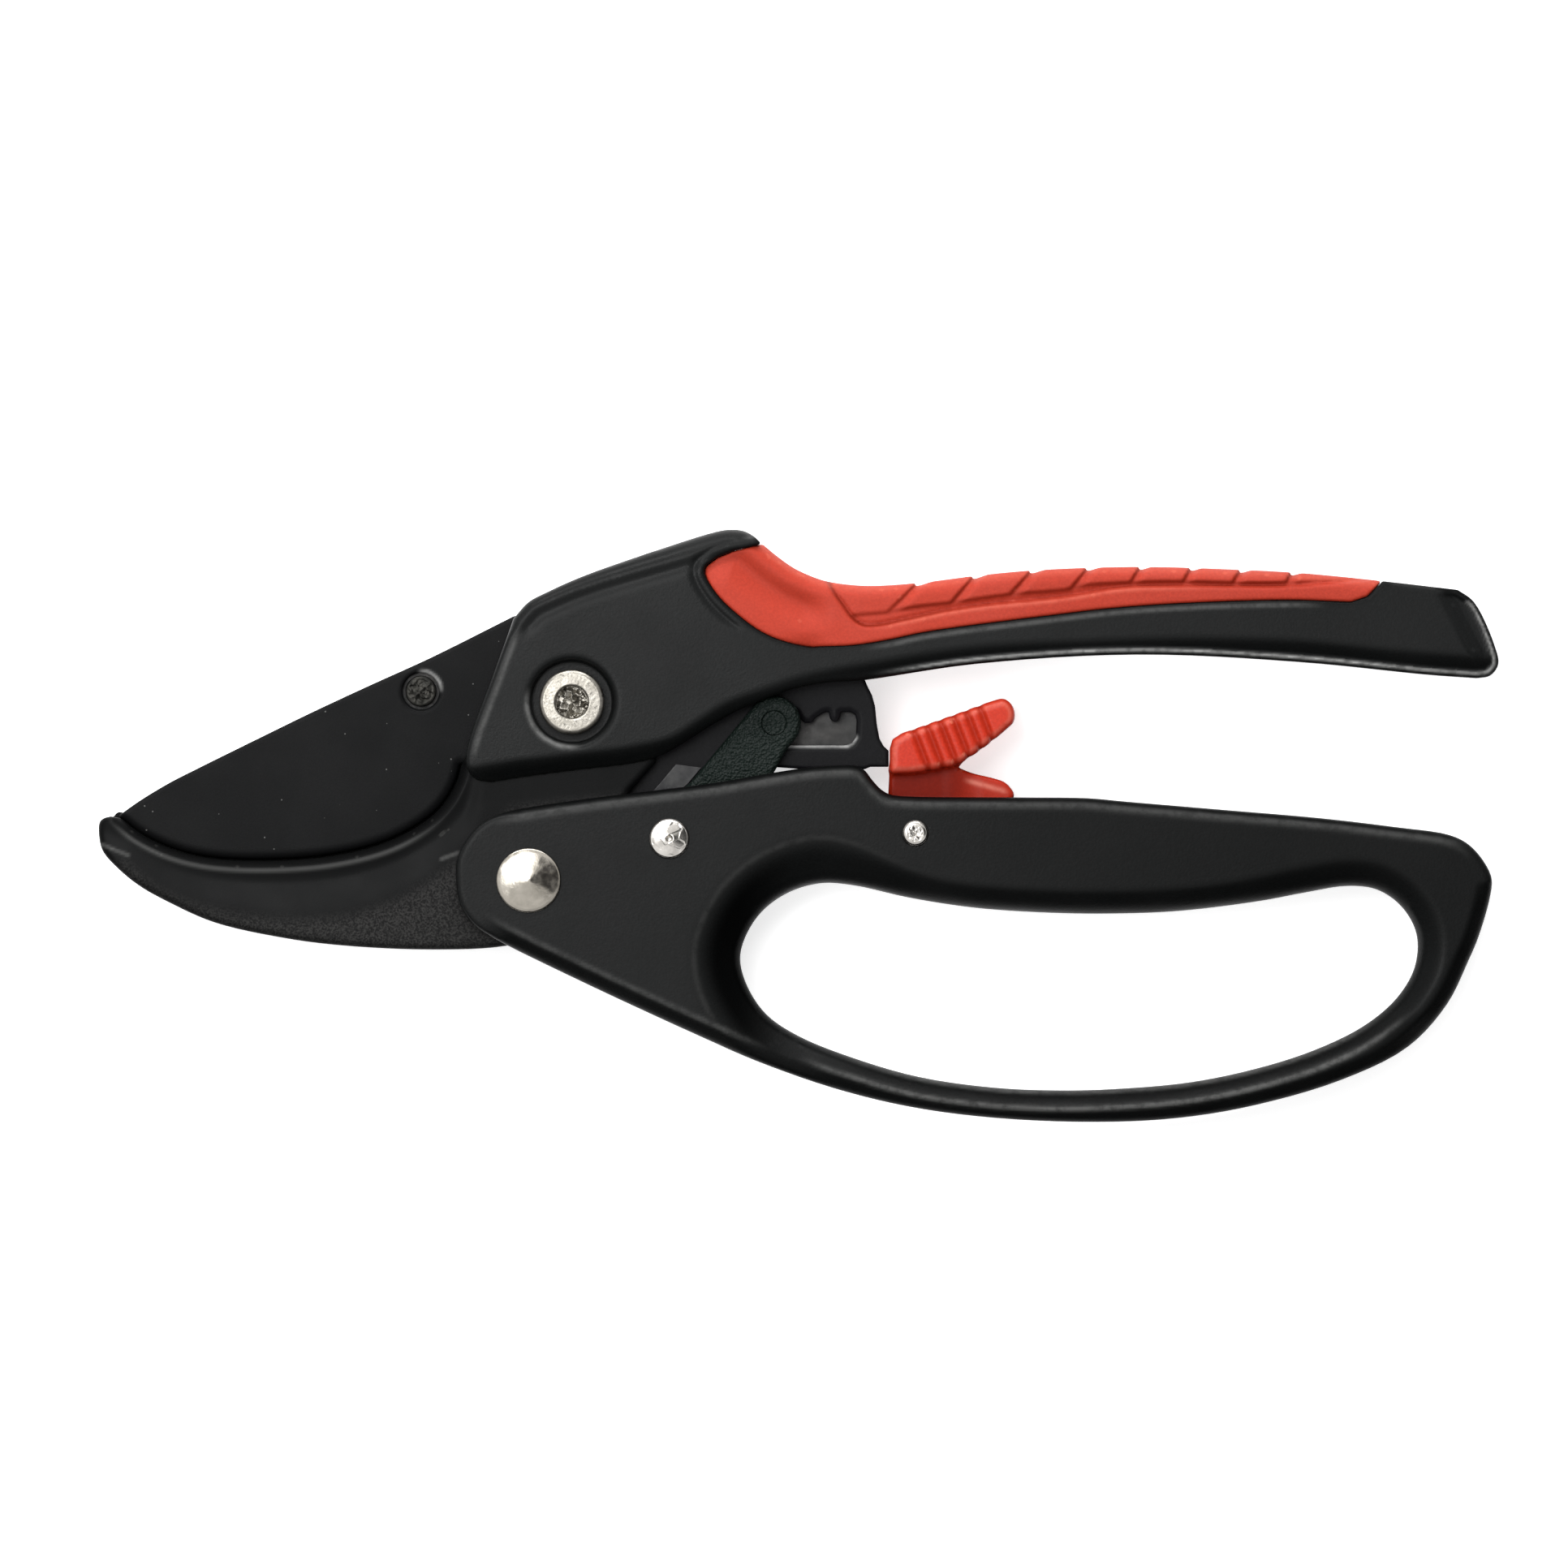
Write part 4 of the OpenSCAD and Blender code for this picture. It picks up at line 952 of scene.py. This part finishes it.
def metal(name, dark, light, rough, grain=2600.0, grain_d=0.00002, cloud=260.0, spots=None, aniso=0.0):
    m, nt, bs = mat(name)
    tc = node(nt, "ShaderNodeTexCoord").outputs["Object"]
    c1 = noise_tex(nt, tc, cloud, 4.0, 0.6)
    col = mixc(nt, mapr(nt, c1, 0.32, 0.68, 0.0, 1.0), dark, light)
    if spots:
        s = noise_tex(nt, tc, 1500.0, 2.0, 0.5)
        col = mixc(nt, mapr(nt, s, 0.6, 0.72, 0.0, spots), col, tuple(x * 0.35 for x in dark))
    geo = node(nt, "ShaderNodeNewGeometry")
    edge = mapr(nt, geo.outputs["Pointiness"], 0.53, 0.64, 0.0, 0.5)
    col = mixc(nt, edge, col, tuple(min(1, x * 1.15) for x in light))
    nt.links.new(col, bs.inputs["Base Color"])
    bs.inputs["Metallic"].default_value = 1.0
    r1 = noise_tex(nt, tc, 700.0, 3.0, 0.6)
    nt.links.new(mapr(nt, r1, 0.3, 0.7, rough - 0.06, rough + 0.08), bs.inputs["Roughness"])
    c2 = noise_tex(nt, tc, grain, 3.0, 0.6)
    nt.links.new(bump(nt, c2, grain_d, 0.5), bs.inputs["Normal"])
    if aniso:
        bs.inputs["Anisotropic"].default_value = aniso
    return m


MATS = {
    "handle_black": plastic("moulded_black", (0.0040, 0.0044, 0.0044), (0.0057, 0.0061, 0.0061), 0.38, 0.10, wear=0.2),
    "grip_red": plastic("soft_red", (0.298, 0.0225, 0.0092), (0.330, 0.0270, 0.0118), 0.58, 0.2, grain=2600.0, grain_d=0.00005,
                        wear=0.3, wear_col=(0.50, 0.09, 0.05), cloud=40.0, shade=0.34, highlight_col=(0.66, 0.17, 0.11)),
    "blade_coat": plastic("blade_coating", (0.0028, 0.0030, 0.0032), (0.0042, 0.0043, 0.0045), 0.38, 0.045, grain=4200.0,
                          grain_d=0.00002, wear=0.6, wear_col=(0.05, 0.05, 0.05), cloud=30.0, specks=0.35),
    "rack_black": plastic("rack_coating", (0.0034, 0.0034, 0.0042), (0.0048, 0.0048, 0.0056), 0.36, 0.07, grain=3000.0,
                          grain_d=0.00002, wear=0.5, wear_col=(0.04, 0.04, 0.04), cloud=80.0, highlight_col=(0.55, 0.55, 0.54)),
    "link_green_black": plastic("link_coating", (0.0040, 0.0072, 0.0060), (0.0062, 0.0100, 0.0084), 0.38, 0.10, grain=2600.0,
                                grain_d=0.00004, wear=0.4, wear_col=(0.02, 0.028, 0.025), cloud=120.0, pebble=(3000.0, 0.0003)),
    "latch_red": plastic("latch_moulding", (0.36, 0.0180, 0.0055), (0.415, 0.0235, 0.0080), 0.38, 0.17, grain=2400.0, grain_d=0.00003,
                         wear=0.5, wear_col=(0.62, 0.14, 0.08), cloud=60.0, shade=0.30, highlight_col=(0.80, 0.32, 0.24)),
    "carrier_steel": metal("carrier_plate", (0.026, 0.026, 0.026), (0.040, 0.039, 0.038), 0.42, grain=1800.0, cloud=160.0),
    "nickel": metal("nickel_plate", (0.275, 0.255, 0.220), (0.350, 0.325, 0.285), 0.19),
    "bright_nickel": metal("bright_nickel_plate", (0.40, 0.38, 0.35), (0.52, 0.50, 0.47), 0.17),
    "dull_nickel": metal("dull_nickel_plate", (0.200, 0.188, 0.163), (0.300, 0.284, 0.254), 0.34, cloud=520.0, spots=0.7),
    "dark_screw": metal("browned_steel", (0.014, 0.014, 0.013), (0.032, 0.031, 0.028), 0.40, cloud=420.0),
    "spring_steel": metal("spring_wire", (0.020, 0.020, 0.021), (0.034, 0.034, 0.034), 0.36, cloud=300.0),
    "bush_nylon": plastic("nylon", (0.20, 0.19, 0.17), (0.28, 0.27, 0.24), 0.45, 0.4, grain=2500.0, grain_d=0.00003, wear=0.2),
}


def anvil_mat():
    """The jaw's coating: smooth and satin beside the blade, coarse cast grain below the soft arc."""
    m, nt, bs = mat("jaw_coating")
    tc = node(nt, "ShaderNodeTexCoord").outputs["Object"]
    at = node(nt, "ShaderNodeAttribute")
    at.attribute_name = "grain"
    g = at.outputs["Fac"]
    c1 = noise_tex(nt, tc, 34.0, 4.0, 0.6)
    smooth_col = mixc(nt, mapr(nt, c1, 0.3, 0.7, 0.0, 1.0), (0.0031, 0.0033, 0.0034), (0.0046, 0.0048, 0.0049))
    f = noise_tex(nt, tc, 3400.0, 2.0, 0.6)
    grain_col = mixc(nt, mapr(nt, f, 0.34, 0.7, 0.0, 1.0), (0.0065, 0.0065, 0.0066), (0.0275, 0.0270, 0.0262))
    col = mixc(nt, g, smooth_col, grain_col)
    geo = node(nt, "ShaderNodeNewGeometry")
    col = mixc(nt, mapr(nt, geo.outputs["Pointiness"], 0.56, 0.66, 0.0, 0.4), col, (0.04, 0.04, 0.038))
    # painted shade: darker colour and less specular where the deep attribute is set
    painted_shade = node(nt, "ShaderNodeAttribute")
    painted_shade.attribute_name = "deep"
    col = mixc(nt, painted_shade.outputs["Fac"], col, (0.0012, 0.0012, 0.0013))
    # painted highlight: a pale colour where this point attribute is set
    highlight_attr = node(nt, "ShaderNodeAttribute")
    highlight_attr.attribute_name = "painted_highlight"
    col = mixc(nt, highlight_attr.outputs["Fac"], col, (0.20, 0.20, 0.195))
    nt.links.new(col, bs.inputs["Base Color"])
    r1 = noise_tex(nt, tc, 120.0, 3.0, 0.5)
    nt.links.new(math2(nt, "ADD", mapr(nt, r1, 0.3, 0.7, 0.36, 0.44), mapr(nt, g, 0.0, 1.0, 0.0, 0.14)), bs.inputs["Roughness"])
    fine = noise_tex(nt, tc, 4000.0, 2.0, 0.5)
    h = math2(nt, "ADD", math2(nt, "MULTIPLY", fine, 0.35), math2(nt, "MULTIPLY", f, mapr(nt, g, 0.0, 1.0, 0.15, 1.6)))
    nt.links.new(bump(nt, h, 0.00005, 0.7), bs.inputs["Normal"])
    nt.links.new(mapr(nt, painted_shade.outputs["Fac"], 0.0, 1.0, 0.05, 0.008, False), bs.inputs["Specular IOR Level"])
    return m


MATS["anvil_coat"] = anvil_mat()


def dress(o, slot_name, body, *nodes, finish=None):
    o.data.materials.clear()
    o.data.materials.append(MATS[finish or slot_name])
    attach(o, body)
    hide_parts(*nodes)
    return o


dress(make_upper(), "handle_black", "upper", "upper_handle")
dress(make_grip(), "grip_red", "upper", "upper_grip")
dress(make_lower(), "handle_black", "lower", "lower_handle")
dress(make_anvil(), "anvil_coat", "anvil", "anvil_jaw")
dress(make_blade(), "blade_coat", "upper", "blade")
dress(make_rack(), "rack_black", "upper", "ratchet_rack")
dress(make_link(), "link_green_black", "link", "link_arm")
dress(make_latch(), "latch_red", "latch", "thumb_latch")
dress(make_bolt(), "nickel", "upper", "main_pivot_bolt", finish="dull_nickel")
dress(make_l_rivet(), "nickel", "lower", "lower_pivot_rivet")
dress(make_k_rivet(), "nickel", "lower", "link_rivet", finish="bright_nickel")
dress(make_s_rivet(), "nickel", "lower", "latch_rivet", finish="bright_nickel")
dress(make_screw(), "dark_screw", "upper", "blade_screw")
dress(make_spring(), "spring_steel", "lower", "return_spring")

# the CAD nodes that are shown as they are, with broken edges and their own finish
KEPT = {"blade_carrier": ("carrier_steel", 0.2), "rack_rivet": ("nickel", 0.1), "carrier_pins": ("nickel", 0.15),
    "main_pivot_nut": ("nickel", 0.25), "pivot_washers": ("bush_nylon", 0.1), "lower_pivot_washer": ("nickel", 0.15),
    "spring_bush": ("bush_nylon", 0.1), "link_rivet_washer": ("nickel", 0.12), "latch_rivet_washer": ("nickel", 0.1),
    "ratchet_stud": ("link_green_black", 0.22), "link_spring": ("spring_steel", 0.1), "latch_washers": ("bush_nylon", 0.08)}
for name, (slot_name, w) in KEPT.items():
    o = frame["nodes"][name]
    o.data.materials.clear()
    o.data.materials.append(MATS[slot_name])
    wd = o.modifiers.new("weld", "WELD")
    wd.merge_threshold = 0.000002
    bv = o.modifiers.new("edges", "BEVEL")
    bv.width = w / 1000
    bv.segments = 2
    bv.limit_method = "ANGLE"
    bv.angle_limit = math.radians(40)

# ---------------------------------------------------------------- floor, light and camera
me = bpy.data.meshes.new("studio_floor")
me.from_pydata([(-14, -14, -0.00004), (14, -14, -0.00004), (14, 14, -0.00004), (-14, 14, -0.00004)], [], [(0, 1, 2, 3)])
floor = bpy.data.objects.new("studio_floor", me)
bpy.context.scene.collection.objects.link(floor)
fm, fnt, fbs = mat("pale_floor")
ftc = node(fnt, "ShaderNodeTexCoord").outputs["Object"]
fnt.links.new(mixc(fnt, mapr(fnt, noise_tex(fnt, ftc, 6.0, 3.0), 0.3, 0.7, 0.0, 1.0), (0.93, 0.93, 0.93), (0.95, 0.95, 0.95)),
              fbs.inputs["Base Color"])
fbs.inputs["Roughness"].default_value = 0.9
fbs.inputs["Specular IOR Level"].default_value = 0.1
fbs.inputs["Emission Color"].default_value = (1, 1, 1, 1)
fbs.inputs["Emission Strength"].default_value = 0.62
me.materials.append(fm)

world = bpy.data.worlds.new("studio")
bpy.context.scene.world = world
world.use_nodes = True
wt = world.node_tree
wt.nodes.clear()
wo = wt.nodes.new("ShaderNodeOutputWorld")
bg = wt.nodes.new("ShaderNodeBackground")
wt.links.new(bg.outputs[0], wo.inputs[0])
wc = wt.nodes.new("ShaderNodeTexCoord").outputs["Generated"]
dp = node(wt, "ShaderNodeVectorMath", operation="DOT_PRODUCT")
dp.inputs[1].default_value = Vector((-0.16, 0.36, 0.92)).normalized()
wt.links.new(wc, dp.inputs[0])
dome = mapr(wt, dp.outputs["Value"], 0.16, 0.76, 0.02, 1.42)
df = node(wt, "ShaderNodeVectorMath", operation="DOT_PRODUCT")
df.inputs[1].default_value = Vector((0.40, 0.10, 0.91)).normalized()
wt.links.new(wc, df.inputs[0])
flag = mapr(wt, df.outputs["Value"], 0.93, 0.978, 1.0, 0.05)
dz = node(wt, "ShaderNodeVectorMath", operation="DOT_PRODUCT")
dz.inputs[1].default_value = (0, 0, 1)
wt.links.new(wc, dz.inputs[0])
below = mapr(wt, dz.outputs["Value"], -0.03, -0.004, 1.2, 0.0)
wt.links.new(math2(wt, "ADD", math2(wt, "MULTIPLY", dome, flag), below), bg.inputs["Strength"])
bg.inputs["Color"].default_value = (1, 1, 1, 1)


def area(name, loc, size, size_y, power, aim=(0, 0, 0)):
    l = bpy.data.lights.new(name, "AREA")
    l.shape = "RECTANGLE"
    l.size, l.size_y, l.energy = size, size_y, power
    o = bpy.data.objects.new(name, l)
    bpy.context.scene.collection.objects.link(o)
    o.location = loc
    o.rotation_euler = (Vector(aim) - Vector(loc)).to_track_quat("-Z", "Y").to_euler()
    return o


area("box", (-0.12, 0.10, 0.42), 0.26, 0.20, 1.1, aim=(-0.08, 0.04, 0))
area("strip", (-0.05, 0.62, 0.34), 0.7, 0.12, 3.2)

lo, hi = CAD_LO, CAD_HI
cam = bpy.data.cameras.new("view")
cam.type = "ORTHO"
cam.ortho_scale = 0.23184
cam.clip_start, cam.clip_end = 0.01, 20
co = bpy.data.objects.new("view", cam)
bpy.context.scene.collection.objects.link(co)
co.location = ((lo.x + hi.x) / 2 - 0.00216, (lo.y + hi.y) / 2 + 0.00618, 1.2)
co.rotation_euler = (0, 0, 0)
bpy.context.scene.camera = co
bpy.context.scene.view_settings.view_transform = "Standard"
